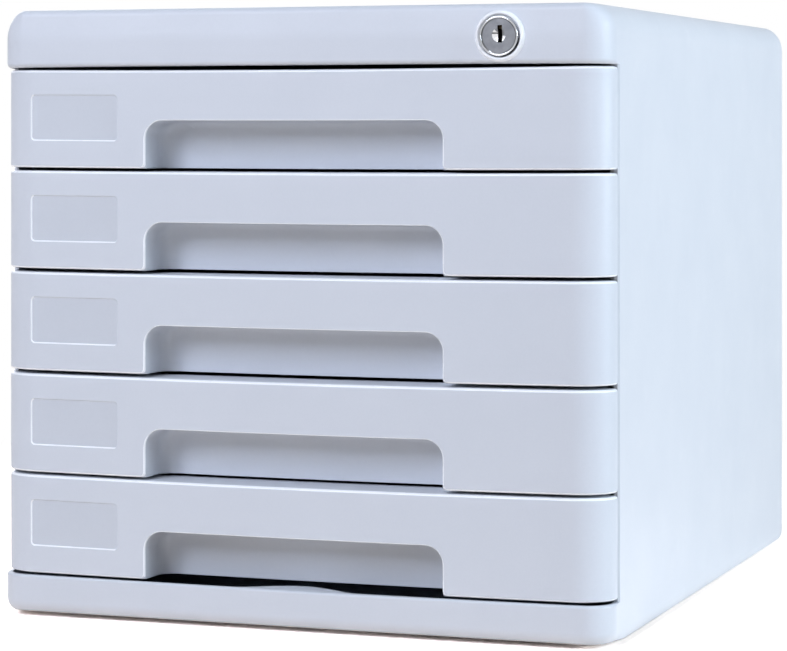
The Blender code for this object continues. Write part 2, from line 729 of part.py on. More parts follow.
def make_runner_panel(name, side):
    """An inner side panel with a ledge, a hold-down rib and a stop for each drawer."""
    root = PANEL_INNER + PANEL_THICKNESS / 2
    panel = panel_block(name, side, PANEL_INNER, PANEL_OUTER, PANEL_FRONT, PANEL_REAR,
                        BASE_TOP + FIT, LAST_LINE + PANEL_HEAD)
    for number in range(1, DRAWER_COUNT + 1):
        line = drawer_line(number)
        ledge_edge = TRAY_HALF + LEDGE_SIDE_GAP
        ledge_high = line + LEDGE_TOP
        ledge = panel_block("ledge", side, ledge_edge, root, LEDGE_FRONT, PANEL_REAR - FIT,
                            ledge_high - LEDGE_THICKNESS, ledge_high)
        rib_low = line + RIM + RIB_PLAY
        rib = panel_block("rib", side, TRAY_HALF + RIB_GAP, root, LEDGE_FRONT,
                          PANEL_REAR - FIT, rib_low, rib_low + LEDGE_THICKNESS)
        stop_rear = TRAY_REAR - STOP_INSET - STOP_LENGTH - TRAY_TRAVEL - STOP_PLAY
        stop = panel_block("stop", side, TRAY_HALF + STOP_REACH / 2, root,
                           stop_rear - STOP_LENGTH, stop_rear, line + STOP_BASE,
                           ledge_high - LEDGE_THICKNESS / 2)
        join(panel, ledge, rib, stop)
    if side > 0:
        for number in range(1, DRAWER_COUNT + 1, 2):
            low = drawer_line(number) + GUIDE_BASE
            high = low + GUIDE_HEIGHT
            guide = block("guide", (BAR_INNER - FIT - GUIDE_LIP, BAR_FRONT - FIT - GUIDE_WALL, low),
                          (root, BAR_REAR + FIT + GUIDE_WALL, high))
            channel = block("channel", (BAR_INNER - FIT, BAR_FRONT - FIT, low - OVERRUN),
                            (BAR_OUTER + FIT, BAR_REAR + FIT, high + OVERRUN))
            cut(guide, channel)
            freeze(guide)
            join(panel, guide)
    finish_material(panel, INNER_PLASTIC)


def pocket_outline(line, with_foot):
    """The finger cut-out in X and Z, open below, with or without rounds at its feet."""
    high = line + POCKET_RISE
    low = line - OVERRUN
    half = POCKET_HALF
    right = []
    for step in range(POCKET_STEPS + 1):
        angle = math.pi / 2 * step / POCKET_STEPS
        right.append((half - POCKET_RADIUS * (1 - math.sin(angle)),
                      high - POCKET_RADIUS * (1 - math.cos(angle))))
    if with_foot:
        foot_line = line + FRONT_LOW
        for step in range(POCKET_STEPS + 1):
            angle = math.pi / 2 * step / POCKET_STEPS
            right.append((half + POCKET_FOOT * (1 - math.cos(angle)),
                          foot_line + POCKET_FOOT * (1 - math.sin(angle))))
        right.append((half + POCKET_FOOT, low))
    else:
        right.append((half, low))
    left = [(-across, up) for across, up in reversed(right)]
    return right + left


def make_drawer_front(line):
    """One moulded front: rounded skin, top flange, pocket, label recess and snap arms."""
    low = line + FRONT_LOW
    high = line + FRONT_HIGH
    half = HALF_WIDTH - FRONT_INSET
    wrap_rear = FRONT_PLANE + FRONT_WRAP
    rear = FRONT_PLANE + FRONT_DEPTH
    edges = ((low, FRONT_EDGE), (low + FRONT_EDGE, 0.0), (high - FRONT_EDGE, 0.0),
             (high, FRONT_EDGE))
    front = loft("drawer_front",
                 [outline(height, half - inset, FRONT_PLANE + inset, wrap_rear,
                          half - FRONT_RADIUS, FRONT_PLANE + FRONT_RADIUS,
                          wrap_rear - FRONT_EDGE, CORNER_STEPS) for height, inset in edges])
    join(front, block("rear_frame", (-FRONT_BACK_HALF, FRONT_PLANE + FRONT_RADIUS, low),
                      (FRONT_BACK_HALF, rear, high)))
    hollow_half = FRONT_BACK_HALF - FRONT_BACK_WALL
    hollow_front = FRONT_PLANE + FRONT_SKIN
    hollow_radius = FRONT_RADIUS - FRONT_SKIN
    hollow = loft("hollow_cutter",
                  [outline(height, hollow_half, hollow_front, rear + OVERRUN,
                           hollow_half - hollow_radius, hollow_front + hollow_radius,
                           rear, CORNER_STEPS)
                   for height in (low + FRONT_BACK_WALL, high - TOP_FLANGE)])
    cut(front, hollow)
    pocket_outer = POCKET_HALF + POCKET_WALL
    join(front, block("pocket_walls", (-pocket_outer, FRONT_PLANE + FRONT_SKIN / 2, low),
                      (pocket_outer, rear, line + POCKET_RISE + POCKET_WALL)))
    cut(front,
        flat_plate("pocket_cutter", pocket_outline(line, False), FRONT_PLANE - OVERRUN,
                   FRONT_PLANE + POCKET_DEPTH, True),
        flat_plate("mouth_cutter", pocket_outline(line, True), FRONT_PLANE - OVERRUN,
                   FRONT_PLANE + FRONT_SKIN, True))
    label_low = line + LABEL_BASE
    label_left = -HALF_WIDTH + LABEL_MARGIN
    cut(front, rounded_block("label_cutter", (label_left, FRONT_PLANE - OVERRUN, label_low),
                             (label_left + LABEL_WIDTH, FRONT_PLANE + LABEL_DEPTH,
                              label_low + LABEL_HEIGHT), LABEL_RADIUS, 2))
    tray_wall_rear = TRAY_FRONT + TRAY_WALL
    for side in (-1, 1):
        left = side * ARM_OFFSET - ARM_WIDTH / 2
        right = side * ARM_OFFSET + ARM_WIDTH / 2
        arm_low = line + ARM_BASE
        arm_high = arm_low + ARM_HEIGHT
        barb_front = tray_wall_rear + FIT
        barb_rear = barb_front + ARM_BARB_LENGTH
        arm = block("arm", (left, FRONT_PLANE + FRONT_SKIN / 2, arm_low),
                    (right, barb_rear, arm_high))
        barb = block("barb", (left, barb_front, arm_high - ARM_BARB),
                     (right, barb_rear, arm_high + ARM_BARB))
        join(arm, barb)
        freeze(arm)
        join(front, arm)
    freeze(front)
    return front


def make_drawer_tray(line):
    """One document tray: open box, side flanges, catch lug and rear stop lugs."""
    low = line + TRAY_LIFT
    high = line + RIM
    edges = ((low, TRAY_EDGE), (low + TRAY_EDGE, 0.0), (high, 0.0))
    corner_x = TRAY_HALF - TRAY_RADIUS
    corner_front = TRAY_FRONT + TRAY_RADIUS
    corner_rear = TRAY_REAR - TRAY_RADIUS
    tray = loft("drawer_tray",
                [outline(height, TRAY_HALF - inset, TRAY_FRONT + inset, TRAY_REAR - inset,
                         corner_x, corner_front, corner_rear, 3) for height, inset in edges])
    for side in (-1, 1):
        ends = sorted((side * (TRAY_HALF - TRAY_WALL / 2), side * (TRAY_HALF + FLANGE_REACH)))
        join(tray, block("flange", (ends[0], corner_front, high - FLANGE_THICKNESS),
                         (ends[1], corner_rear, high)))
        ends = sorted((side * (TRAY_HALF - TRAY_WALL / 2), side * (TRAY_HALF + STOP_REACH)))
        stop_rear = TRAY_REAR - STOP_INSET
        join(tray, block("stop_lug", (ends[0], stop_rear - STOP_LENGTH, line + STOP_BASE),
                         (ends[1], stop_rear, line + STOP_BASE + STOP_HEIGHT)))
    catch_front = BAR_REAR + CATCH_PLAY
    join(tray, block("catch", (TRAY_HALF - TRAY_WALL / 2, catch_front, line + CATCH_BASE),
                     (TRAY_HALF + CATCH_REACH, catch_front + CATCH_LENGTH,
                      line + CATCH_BASE + CATCH_HEIGHT)))
    wall = TRAY_WALL
    hollow = loft("tray_hollow",
                  [outline(height, TRAY_HALF - wall - inset, TRAY_FRONT + wall + inset,
                           TRAY_REAR - wall - inset, corner_x, corner_front, corner_rear, 3)
                   for height, inset in ((low + wall, TRAY_EDGE), (low + wall + TRAY_EDGE, 0.0),
                                         (high + OVERRUN, 0.0))])
    cut(tray, hollow)
    for side in (-1, 1):
        left = side * ARM_OFFSET - ARM_WIDTH / 2 - FIT
        right = side * ARM_OFFSET + ARM_WIDTH / 2 + FIT
        cut(tray, block("arm_slot", (left, TRAY_FRONT - OVERRUN, line + ARM_BASE - FIT),
                        (right, TRAY_FRONT + TRAY_WALL + OVERRUN,
                         line + ARM_BASE + ARM_HEIGHT + ARM_BARB + FIT)))
    freeze(tray)
    return tray


def make_drawers():
    """Five equal drawers: each front and tray is its own object on shared meshes."""
    kinds = (("front", make_drawer_front(0.0), WHITE_PLASTIC),
             ("tray", make_drawer_tray(0.0), TRAY_PLASTIC))
    for kind, pattern, finish in kinds:
        finish_material(pattern, finish)
        mesh = pattern.data
        mesh.transform(Matrix.Translation((0, -FRONT_PLANE, 0)))
        bpy.data.objects.remove(pattern, do_unlink=True)
        for number in range(1, DRAWER_COUNT + 1):
            item = bpy.data.objects.new(f"drawer_{number}_{kind}", mesh)
            item.location = (0, FRONT_PLANE, drawer_line(number))
            parts.objects.link(item)


def make_lock_barrel():
    """The chromed lock body: round head, threaded body with two flats, bore for the plug."""
    seat = LOCK_PROUD - BOSS_PROUD - FIT
    length = LOCK_PROUD + BARREL_REACH
    recess = PLUG_HEAD_RADIUS + FIT
    recess_depth = PLUG_SUNK + PLUG_HEAD_THICKNESS + FIT
    bore = PLUG_RADIUS + FIT
    profile = [(HEAD_RADIUS - HEAD_ROUND, 0), (HEAD_RADIUS, HEAD_ROUND), (HEAD_RADIUS, seat),
               (BARREL_RADIUS, seat), (BARREL_RADIUS, length), (bore, length),
               (bore, recess_depth), (recess, recess_depth), (recess, 0)]
    barrel = turned("lock_barrel", profile, (LOCK_X, LOCK_Z), HEAD_FACE, True)
    for side in (-1, 1):
        ends = sorted((LOCK_X + side * BARREL_FLAT, LOCK_X + side * (BARREL_RADIUS + OVERRUN)))
        cut(barrel, block("barrel_flat", (ends[0], HEAD_FACE + seat, LOCK_Z - BARREL_RADIUS),
                          (ends[1], BARREL_REAR + OVERRUN, LOCK_Z + BARREL_RADIUS)))
    finish_material(barrel, CHROME)


def wafer_places():
    """Front faces of the wafers along Y."""
    return [HEAD_FACE + WAFER_FIRST + WAFER_PITCH * index for index in range(WAFER_COUNT)]


def make_lock_plug():
    """The turning core: head, body with keyway and wafer slots, square drive."""
    origin = (LOCK_X, HEAD_FACE, LOCK_Z)
    head_rear = PLUG_SUNK + PLUG_HEAD_THICKNESS
    body_rear = LOCK_PROUD + BARREL_REACH
    profile = [(0, PLUG_SUNK), (PLUG_HEAD_RADIUS, PLUG_SUNK), (PLUG_HEAD_RADIUS, head_rear),
               (PLUG_RADIUS, head_rear), (PLUG_RADIUS, body_rear), (0, body_rear)]
    plug = turned("lock_plug", profile, (LOCK_X, LOCK_Z), HEAD_FACE, False)
    drive = DRIVE_SIDE / 2
    join(plug, block("drive", (LOCK_X - drive, BARREL_REAR - OVERRUN, LOCK_Z - drive),
                     (LOCK_X + drive, BARREL_REAR + FIT + DRIVE_LENGTH, LOCK_Z + drive), origin))
    cut(plug, block("keyway", (LOCK_X - KEYWAY_WIDTH / 2, HEAD_FACE - OVERRUN,
                               LOCK_Z - KEYWAY_HEIGHT / 2),
                    (LOCK_X + KEYWAY_WIDTH / 2, HEAD_FACE + KEYWAY_DEPTH,
                     LOCK_Z + KEYWAY_HEIGHT / 2)))
    slot_x = WAFER_WIDTH / 2 + FIT
    slot_z = PLUG_RADIUS + OVERRUN
    for front in wafer_places():
        cut(plug, block("wafer_slot", (LOCK_X - slot_x, front - FIT, LOCK_Z - slot_z),
                        (LOCK_X + slot_x, front + WAFER_THICKNESS + FIT, LOCK_Z + slot_z)))
    cut(plug, rod("screw_hole", CAM_SCREW_RADIUS + FIT, CAM_REAR - CAM_SCREW_GRIP,
                  CAM_REAR + OVERRUN, (LOCK_X, LOCK_Z), SCREW_SIDES))
    finish_material(plug, SATIN_STEEL)


def make_lock_wafers():
    """Five flat wafers with a window for the key, drawn in so that the plug can turn."""
    half_width = WAFER_WIDTH / 2
    half_height = WAFER_HEIGHT / 2
    pattern = block("lock_wafer", (-half_width, 0, -half_height),
                    (half_width, WAFER_THICKNESS, half_height))
    cut(pattern, block("window", (-WAFER_WINDOW_WIDTH / 2, -OVERRUN, -WAFER_WINDOW_HEIGHT / 2),
                       (WAFER_WINDOW_WIDTH / 2, WAFER_THICKNESS + OVERRUN,
                        WAFER_WINDOW_HEIGHT / 2)))
    freeze(pattern)
    finish_material(pattern, BRASS)
    mesh = pattern.data
    bpy.data.objects.remove(pattern, do_unlink=True)
    for number, front in enumerate(wafer_places(), 1):
        wafer = bpy.data.objects.new(f"lock_wafer_{number}", mesh)
        wafer.location = (LOCK_X, front, LOCK_Z)
        parts.objects.link(wafer)


def make_lock_nut():
    """The flat nut that clamps the barrel against the boss from inside."""
    front = CASE_FRONT + BOSS_BACK + FIT
    nut = rod("lock_nut", NUT_RADIUS, front, front + NUT_THICKNESS, (LOCK_X, LOCK_Z), 6)
    cut(nut, rod("nut_bore", BARREL_RADIUS + FIT, front - OVERRUN,
                 front + NUT_THICKNESS + OVERRUN, (LOCK_X, LOCK_Z), TURNED_SIDES))
    finish_material(nut, ZINC_STEEL)


def cam_outline():
    """Two circles and their common tangents, turned to the cam's place at rest."""
    spread = math.acos((CAM_HUB_RADIUS - CAM_END_RADIUS) / CAM_THROW)
    points = []
    for step in range(CAM_STEPS + 1):
        angle = CAM_REST_ANGLE - spread + 2 * spread * step / CAM_STEPS
        points.append((CAM_THROW * math.cos(CAM_REST_ANGLE) + CAM_END_RADIUS * math.cos(angle),
                       CAM_THROW * math.sin(CAM_REST_ANGLE) + CAM_END_RADIUS * math.sin(angle)))
    for step in range(2 * CAM_STEPS + 1):
        angle = CAM_REST_ANGLE + spread + (2 * math.pi - 2 * spread) * step / (2 * CAM_STEPS)
        points.append((CAM_HUB_RADIUS * math.cos(angle), CAM_HUB_RADIUS * math.sin(angle)))
    return points


def make_lock_cam():
    """The cam on the plug's square drive, with the pin that moves the bar's arm."""
    cam = flat_plate("lock_cam", cam_outline(), CAM_FRONT, CAM_REAR, True, (LOCK_X, LOCK_Z))
    drive = DRIVE_SIDE / 2 + FIT
    pin_centre = (LOCK_X + CAM_THROW * math.cos(CAM_REST_ANGLE), LOCK_Z + CAM_LIFT)
    join(cam, rod("cam_pin", PIN_RADIUS, CAM_FRONT + CAM_THICKNESS / 2, CAM_REAR + PIN_LENGTH,
                  pin_centre, 16))
    cut(cam, block("drive_hole", (LOCK_X - drive, CAM_FRONT - OVERRUN, LOCK_Z - drive),
                   (LOCK_X + drive, CAM_REAR + OVERRUN, LOCK_Z + drive)))
    finish_material(cam, ZINC_STEEL)


def make_cam_screw():
    """The screw that holds the cam on the plug."""
    seat = CAM_REAR + FIT
    screw = rod("cam_screw", CAM_SCREW_HEAD_RADIUS, seat, seat + CAM_SCREW_HEAD_HEIGHT,
                (LOCK_X, LOCK_Z), SCREW_SIDES, None, (LOCK_X, seat, LOCK_Z))
    join(screw, rod("cam_screw_shank", CAM_SCREW_RADIUS, CAM_REAR - CAM_SCREW_GRIP + FIT,
                    seat + CAM_SCREW_HEAD_HEIGHT / 2, (LOCK_X, LOCK_Z), SCREW_SIDES))
    finish_material(screw, ZINC_STEEL)


def make_lock_bar():
    """The sliding bar: strip, arm with the cam's slot, and one tooth for each drawer."""
    slot_middle = LOCK_Z + CAM_LIFT
    slot_half = PIN_RADIUS + SLOT_PLAY
    arm_low = slot_middle - slot_half - BAR_ARM_MARGIN
    arm_high = slot_middle + slot_half + BAR_ARM_MARGIN
    slot_left = LOCK_X + CAM_THROW * math.cos(CAM_REST_ANGLE) - PIN_RADIUS - SLOT_PLAY
    slot_right = LOCK_X + CAM_THROW + PIN_RADIUS + SLOT_PLAY
    low = FIRST_LINE + BAR_FOOT
    origin = (BAR_INNER, BAR_FRONT, low)
    bar = block("lock_bar", (BAR_INNER, BAR_FRONT, low), (BAR_OUTER, BAR_REAR, arm_high), origin)
    bridge = block("bar_bridge", (BAR_INNER, BAR_ARM_FRONT, arm_low),
                   (BAR_OUTER, BAR_REAR, arm_high))
    arm = block("bar_arm", (slot_left - BAR_ARM_MARGIN, BAR_ARM_FRONT, arm_low),
                (BAR_OUTER, BAR_ARM_REAR, arm_high))
    join(bar, bridge, arm)
    cut(bar, block("arm_slot", (slot_left, BAR_ARM_FRONT - OVERRUN, slot_middle - slot_half),
                   (slot_right, BAR_ARM_REAR + OVERRUN, slot_middle + slot_half)))
    for number in range(1, DRAWER_COUNT + 1):
        tooth_low = drawer_line(number) + TOOTH_BASE
        join(bar, block("tooth", (TRAY_HALF + TOOTH_WALL_GAP, BAR_REAR - TOOTH_LENGTH, tooth_low),
                        (BAR_INNER + BAR_THICKNESS / 2, BAR_REAR, tooth_low + TOOTH_HEIGHT)))
    finish_material(bar, ZINC_STEEL)


clear_scene()
parts = new_collection("desktop_file_drawer")
cutters = new_collection("cutters")
make_housing_shell()
make_base_plate()
make_back_panel()
make_screws()
make_feet()
make_runner_panel("left_runner_panel", -1)
make_runner_panel("right_runner_panel", 1)
make_drawers()
make_lock_barrel()
make_lock_plug()
make_lock_wafers()
make_lock_nut()
make_lock_cam()
make_cam_screw()
make_lock_bar()
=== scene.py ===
"""Desktop file drawer, dressed for its picture: white moulded casing, five drawers, cam lock.

Metres, +X to the right, +Y to the rear, +Z up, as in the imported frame. Drawer 1 is the top one.
"""

import math

import bmesh
import bpy
from mathutils import Matrix, Vector


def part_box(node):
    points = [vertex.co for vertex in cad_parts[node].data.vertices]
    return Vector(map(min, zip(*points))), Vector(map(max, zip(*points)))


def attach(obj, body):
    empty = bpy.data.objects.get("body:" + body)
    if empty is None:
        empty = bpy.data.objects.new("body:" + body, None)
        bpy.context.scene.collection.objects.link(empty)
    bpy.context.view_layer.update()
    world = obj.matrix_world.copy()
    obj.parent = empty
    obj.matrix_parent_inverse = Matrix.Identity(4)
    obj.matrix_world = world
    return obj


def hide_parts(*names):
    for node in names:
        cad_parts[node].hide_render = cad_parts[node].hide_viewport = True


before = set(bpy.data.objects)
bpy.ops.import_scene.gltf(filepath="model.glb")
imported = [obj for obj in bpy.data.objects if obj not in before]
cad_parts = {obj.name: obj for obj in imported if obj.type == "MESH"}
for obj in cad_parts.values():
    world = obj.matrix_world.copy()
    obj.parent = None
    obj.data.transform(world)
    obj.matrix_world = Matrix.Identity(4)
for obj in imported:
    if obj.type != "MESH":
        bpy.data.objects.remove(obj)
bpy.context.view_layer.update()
DRAWERS = range(1, 6)

# The casing: one injection moulding in white ABS with the lid, both sides, the bar above and
# the bar below the drawers, the frame round the rear panel and the collar round the lock.
# It is drawn as an outer form less its hollow, then the openings are cut and edges eased.
CASING_WALL = 0.0026
LOCK_COLLAR_PROUD = 0.0004
PLAN_RADIUS = 0.013
LID_SIDE_ROUND = 0.0115
LID_SIDE_DROP = 0.0135
LID_FRONT_ROUND = 0.003
LID_REAR_ROUND = 0.008
FOOT_ROUND = 0.0068
FOOT_ROUND_CUT = 0.0012
FOOT_FADE = 0.014
FADE_STEPS = 5
FOOT_EDGE = 0.0004
BASE_LIFT = 0.0008
LEAN_HEIGHT = 0.0135
LEAN_SETBACK = 0.0012
LEAN_BLEND = 0.0024
REAR_STEP = 0.0012
REAR_STEP_HEIGHT = 0.0165
REAR_STEP_RUN = 0.005
SEAM = 0.0012
OVERRUN = 0.002
MERGE = 0.000003
HAIR = 10 * MERGE
FLAT_ANGLE = math.radians(0.3)
CORNER_STEPS = 16
ROUND_STEPS = 8

casing_low, casing_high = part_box("housing_shell")
bottom_front_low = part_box("drawer_5_front")[0]
top_front_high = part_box("drawer_1_front")[1]
HALF_WIDTH = casing_high.x
CASING_FRONT = casing_low.y + LOCK_COLLAR_PROUD
CASING_REAR = casing_high.y
CASING_BASE = casing_low.z + BASE_LIFT
CASING_TOP = casing_high.z
FIRST_LINE = bottom_front_low.z - SEAM / 2
LAST_LINE = top_front_high.z + SEAM / 2
CORNER_X = HALF_WIDTH - PLAN_RADIUS
CORNER_FRONT = CASING_FRONT + PLAN_RADIUS
CORNER_REAR = CASING_REAR - PLAN_RADIUS


def linked(name, data):
    """A new object in the scene with the given mesh, lamp or camera."""
    item = bpy.data.objects.new(name, data)
    bpy.context.scene.collection.objects.link(item)
    return item


def placed(name, form):
    """A finished form as an object in the scene."""
    mesh = bpy.data.meshes.new(name)
    form.to_mesh(mesh)
    form.free()
    return linked(name, mesh)


def dressed(piece, *materials):
    """Give a piece its materials in place of any that it had."""
    piece.data.materials.clear()
    for material in materials:
        piece.data.materials.append(material)
    return piece


def show(name, form, body, slot, node, *materials, sharp_angle=35):
    """Show a finished form as a piece that rides on a body and stands for a CAD node, in smooth
    shading in which large faces keep their own direction."""
    piece = placed(name, form)
    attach(piece, body)
    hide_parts(node)
    piece.data.shade_smooth()
    piece.data.set_sharp_from_angle(angle=math.radians(sharp_angle))
    weighted = piece.modifiers.new("even_shading", "WEIGHTED_NORMAL")
    weighted.mode = "FACE_AREA"
    weighted.weight = 100
    weighted.keep_sharp = True
    return dressed(piece, *materials)


def plan_ring(height, half_width, front, rear, corner_x, corner_front, corner_rear, steps):
    """A rectangle in plan whose corners are quarter ellipses about fixed centres."""
    corners = ((corner_x, corner_rear, rear - corner_rear, 0),
               (-corner_x, corner_rear, rear - corner_rear, 1),
               (-corner_x, corner_front, corner_front - front, 2),
               (corner_x, corner_front, corner_front - front, 3))
    points = []
    for x, y, y_radius, quarter in corners:
        for step in range(steps + 1):
            angle = (quarter + step / steps) * math.pi / 2
            points.append(Vector((x + (half_width - corner_x) * math.cos(angle),
                                  y + y_radius * math.sin(angle), height)))
    return points


def stacked(rings):
    """A closed form through rings of points, with its faces pointing out."""
    form = bmesh.new()
    loops = [[form.verts.new(point) for point in points] for points in rings]
    count = len(loops[0])
    for lower, upper in zip(loops, loops[1:]):
        for index in range(count):
            following = (index + 1) % count
            form.faces.new((lower[index], lower[following], upper[following], upper[index]))
    form.faces.new(list(reversed(loops[0])))
    form.faces.new(loops[-1])
    bmesh.ops.recalc_face_normals(form, faces=form.faces)
    return form


def box_form(low, high):
    """A box between two corners, as a tool to cut or to join."""
    low, high = Vector(low), Vector(high)
    form = bmesh.new()
    bmesh.ops.create_cube(form, size=1.0)
    bmesh.ops.scale(form, verts=form.verts, vec=high - low)
    bmesh.ops.translate(form, verts=form.verts, vec=(low + high) / 2)
    return form


def round_bar(radius, start, end, centre, along, steps, end_radius=None):
    """A round bar along Y or Z from start to end, a tool to cut or to join."""
    form = bmesh.new()
    end_radius = radius if end_radius is None else end_radius
    bmesh.ops.create_cone(form, cap_ends=True, segments=steps, radius1=radius, radius2=end_radius,
                          depth=end - start)
    middle = (start + end) / 2
    if along == "Y":
        bmesh.ops.rotate(form, verts=form.verts, matrix=Matrix.Rotation(-math.pi / 2, 3, "X"))
        place = (centre[0], middle, centre[1])
    else:
        place = (centre[0], centre[1], middle)
    bmesh.ops.translate(form, verts=form.verts, vec=place)
    return form


def worked(form, *operations):
    """Cut tools from a form or join them to it, in order. Each operation is (word, tool)."""
    item = placed("work", form)
    tools = []
    for word, tool in operations:
        tools.append(placed("tool", tool))
        step = item.modifiers.new(word, "BOOLEAN")
        step.operation = {"cut": "DIFFERENCE", "join": "UNION"}[word]
        step.solver = "EXACT"
        step.object = tools[-1]
    bpy.context.view_layer.update()
    result = bmesh.new()
    result.from_object(item, bpy.context.evaluated_depsgraph_get())
    for used in [item, *tools]:
        data = used.data
        bpy.data.objects.remove(used, do_unlink=True)
        bpy.data.meshes.remove(data)
    bmesh.ops.remove_doubles(result, verts=result.verts, dist=MERGE)
    bmesh.ops.dissolve_degenerate(result, edges=result.edges, dist=MERGE)
    bmesh.ops.dissolve_limit(result, angle_limit=FLAT_ANGLE, verts=result.verts,
                             edges=result.edges, use_dissolve_boundaries=False)
    return result


def drawn_in(depth, radius):
    """How far a rounded edge draws in at a depth below its top."""
    if depth >= radius or radius <= 0:
        return 0.0
    return radius - math.sqrt(max(radius ** 2 - (radius - depth) ** 2, 0.0))


def smooth_share(value):
    """Smooth step from zero to one."""
    share = min(max(value, 0.0), 1.0)
    return share * share * (3 - 2 * share)


def lean_back(height):
    """How far the upper part of the lid's front leans back, with a soft start."""
    run = height - (CASING_TOP - LEAN_HEIGHT)
    slope = LEAN_SETBACK / LEAN_HEIGHT
    if run <= -LEAN_BLEND:
        return 0.0
    if run >= LEAN_BLEND:
        return slope * run
    return slope * (run + LEAN_BLEND) ** 2 / (4 * LEAN_BLEND)


def casing_ring(height, inset):
    """The casing in plan at one height, moved in from its outer faces. The round under the
    front runs out along the side walls."""
    below_top = CASING_TOP - inset - height
    drop = LID_SIDE_DROP - inset
    share = min(max(1 - below_top / drop, 0.0), 1.0)
    side = inset + (LID_SIDE_ROUND - inset) * (1 - math.sqrt(1 - share ** 2))
    front = inset + lean_back(height) + drawn_in(below_top, LID_FRONT_ROUND - inset)
    step_share = smooth_share((height - CASING_BASE - REAR_STEP_HEIGHT) / REAR_STEP_RUN)
    rear = inset + REAR_STEP * step_share + drawn_in(below_top, LID_REAR_ROUND - inset)
    points = plan_ring(height, HALF_WIDTH - side, CASING_FRONT + front, CASING_REAR - rear,
                       CORNER_X, CORNER_FRONT, CORNER_REAR, CORNER_STEPS)
    left = 2 * (CORNER_STEPS + 1)
    runs = [CORNER_FRONT + FOOT_FADE * step / FADE_STEPS for step in range(FADE_STEPS, 0, -1)]
    wall = HALF_WIDTH - side
    points = (points[:left] + [Vector((-wall, y, height)) for y in runs] + points[left:]
              + [Vector((wall, y, height)) for y in reversed(runs)])
    if inset == 0:
        under = drawn_in(height - CASING_BASE + FOOT_ROUND_CUT, FOOT_ROUND)
        edge = drawn_in(height - CASING_BASE, FOOT_EDGE)
        for point in points:
            fade = (smooth_share((point.y - CORNER_FRONT) / FOOT_FADE)
                    * smooth_share((CORNER_REAR - point.y) / PLAN_RADIUS))
            amount = under + (edge - under) * fade
            across = min(max(abs(point.x) - CORNER_X, 0.0) / PLAN_RADIUS, 1.0)
            along = min(max(CORNER_FRONT - point.y, point.y - CORNER_REAR, 0.0) / PLAN_RADIUS, 1.0)
            length = math.hypot(across, along) or 1.0
            point.x -= math.copysign(amount * across / length, point.x)
            point.y -= math.copysign(amount * along / length, point.y)
    return points


def quarter_turn(steps):
    """Sine and cosine at equal steps of a quarter turn, with both ends."""
    angles = [math.pi / 2 * step / steps for step in range(steps + 1)]
    return [(math.sin(angle), math.cos(angle)) for angle in angles]


def casing_form(inset, low):
    """The casing's outer form, or its hollow."""
    top = CASING_TOP - inset
    drop = LID_SIDE_DROP - inset
    lean_start = CASING_TOP - LEAN_HEIGHT
    heights = [low]
    if inset == 0:
        heights += [CASING_BASE + (FOOT_ROUND - FOOT_ROUND_CUT) * (1 - cosine)
                    for sine, cosine in quarter_turn(ROUND_STEPS)[1:]]
    heights += [CASING_BASE + REAR_STEP_HEIGHT + REAR_STEP_RUN * step / ROUND_STEPS
                for step in range(ROUND_STEPS + 1)]
    heights += [lean_start + LEAN_BLEND * (2 * step / ROUND_STEPS - 1)
                for step in range(ROUND_STEPS + 1)]
    heights += [top - drop * (1 - sine) for sine, cosine in quarter_turn(3 * ROUND_STEPS)]
    return stacked([casing_ring(height, inset) for height in sorted(set(heights))])


def swept_back(layers):
    """A closed form through upright outlines in X and Z, each at its own place along Y."""
    return stacked([[Vector((x, y, z)) for x, z in points] for y, points in layers])


OPENING_LOW = FIRST_LINE - SEAM / 2
OPENING_HIGH = LAST_LINE
OPENING_RAISE = 0.00023
OPENING_BOW = 0.0005
BAR_DROP = 0.00023
BAR_SAG = 0.00064
BOW_STEPS = 48
FRONT_WRAP = 0.015
FIT = 0.0003
DRAWER_PLANE = bottom_front_low.y
SIDE_GAP = 0.0004
SIDE_WALL_START = DRAWER_PLANE + FRONT_WRAP + FIT + SIDE_GAP


def opening_edge(x):
    """The height of the lid's lower edge, which bows up towards the middle."""
    share = min(abs(x) / (HALF_WIDTH + OVERRUN), 1.0)
    return OPENING_HIGH + OPENING_RAISE + OPENING_BOW * (1 - share ** 4)


def bar_edge(x):
    """The height of the bottom bar's upper edge, which sags towards the middle."""
    share = min(abs(x) / (HALF_WIDTH + OVERRUN), 1.0)
    return OPENING_LOW - BAR_DROP - BAR_SAG * (1 - share ** 2)


def opening_tool():
    """The opening for the drawers between the lid's bowed edge and the bar's."""
    half = HALF_WIDTH + OVERRUN
    stations = [half * (2 * step / BOW_STEPS - 1) for step in range(BOW_STEPS + 1)]
    points = [(across, bar_edge(across)) for across in reversed(stations)]
    points += [(across, opening_edge(across)) for across in stations]
    return swept_back([(CASING_FRONT - OVERRUN, points), (SIDE_WALL_START, points)])


SHELF_HALF = 0.032
SHELF_REACH = 0.010
SHELF_THICKNESS = 0.0016


def shelf_tool():
    """The thin crescent shelf behind the middle of the bottom bar."""
    root = CASING_FRONT + CASING_WALL / 2
    points = [(-SHELF_HALF, root), (SHELF_HALF, root)]
    for step in range(BOW_STEPS + 1):
        share = 1 - 2 * step / BOW_STEPS
        reach = (SHELF_REACH + CASING_WALL) * (1 - share ** 2) ** 2
        points.append((SHELF_HALF * share, root + CASING_WALL / 2 + reach))
    return stacked([[Vector((x, y, height)) for x, y in points]
                    for height in (bar_edge(0) - SHELF_THICKNESS, bar_edge(0))])


barrel_low, barrel_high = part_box("lock_barrel")
LOCK_X = (barrel_low.x + barrel_high.x) / 2
LOCK_Z = (barrel_low.z + barrel_high.z) / 2
COLLAR_CREST = 0.0016
COLLAR_SKEW = 0.8
COLLAR_INNER = 0.0094
COLLAR_OUTER = 0.0117
COLLAR_BACK = 0.0045
LOCK_BORE = 0.0082
TURNED_STEPS = 72


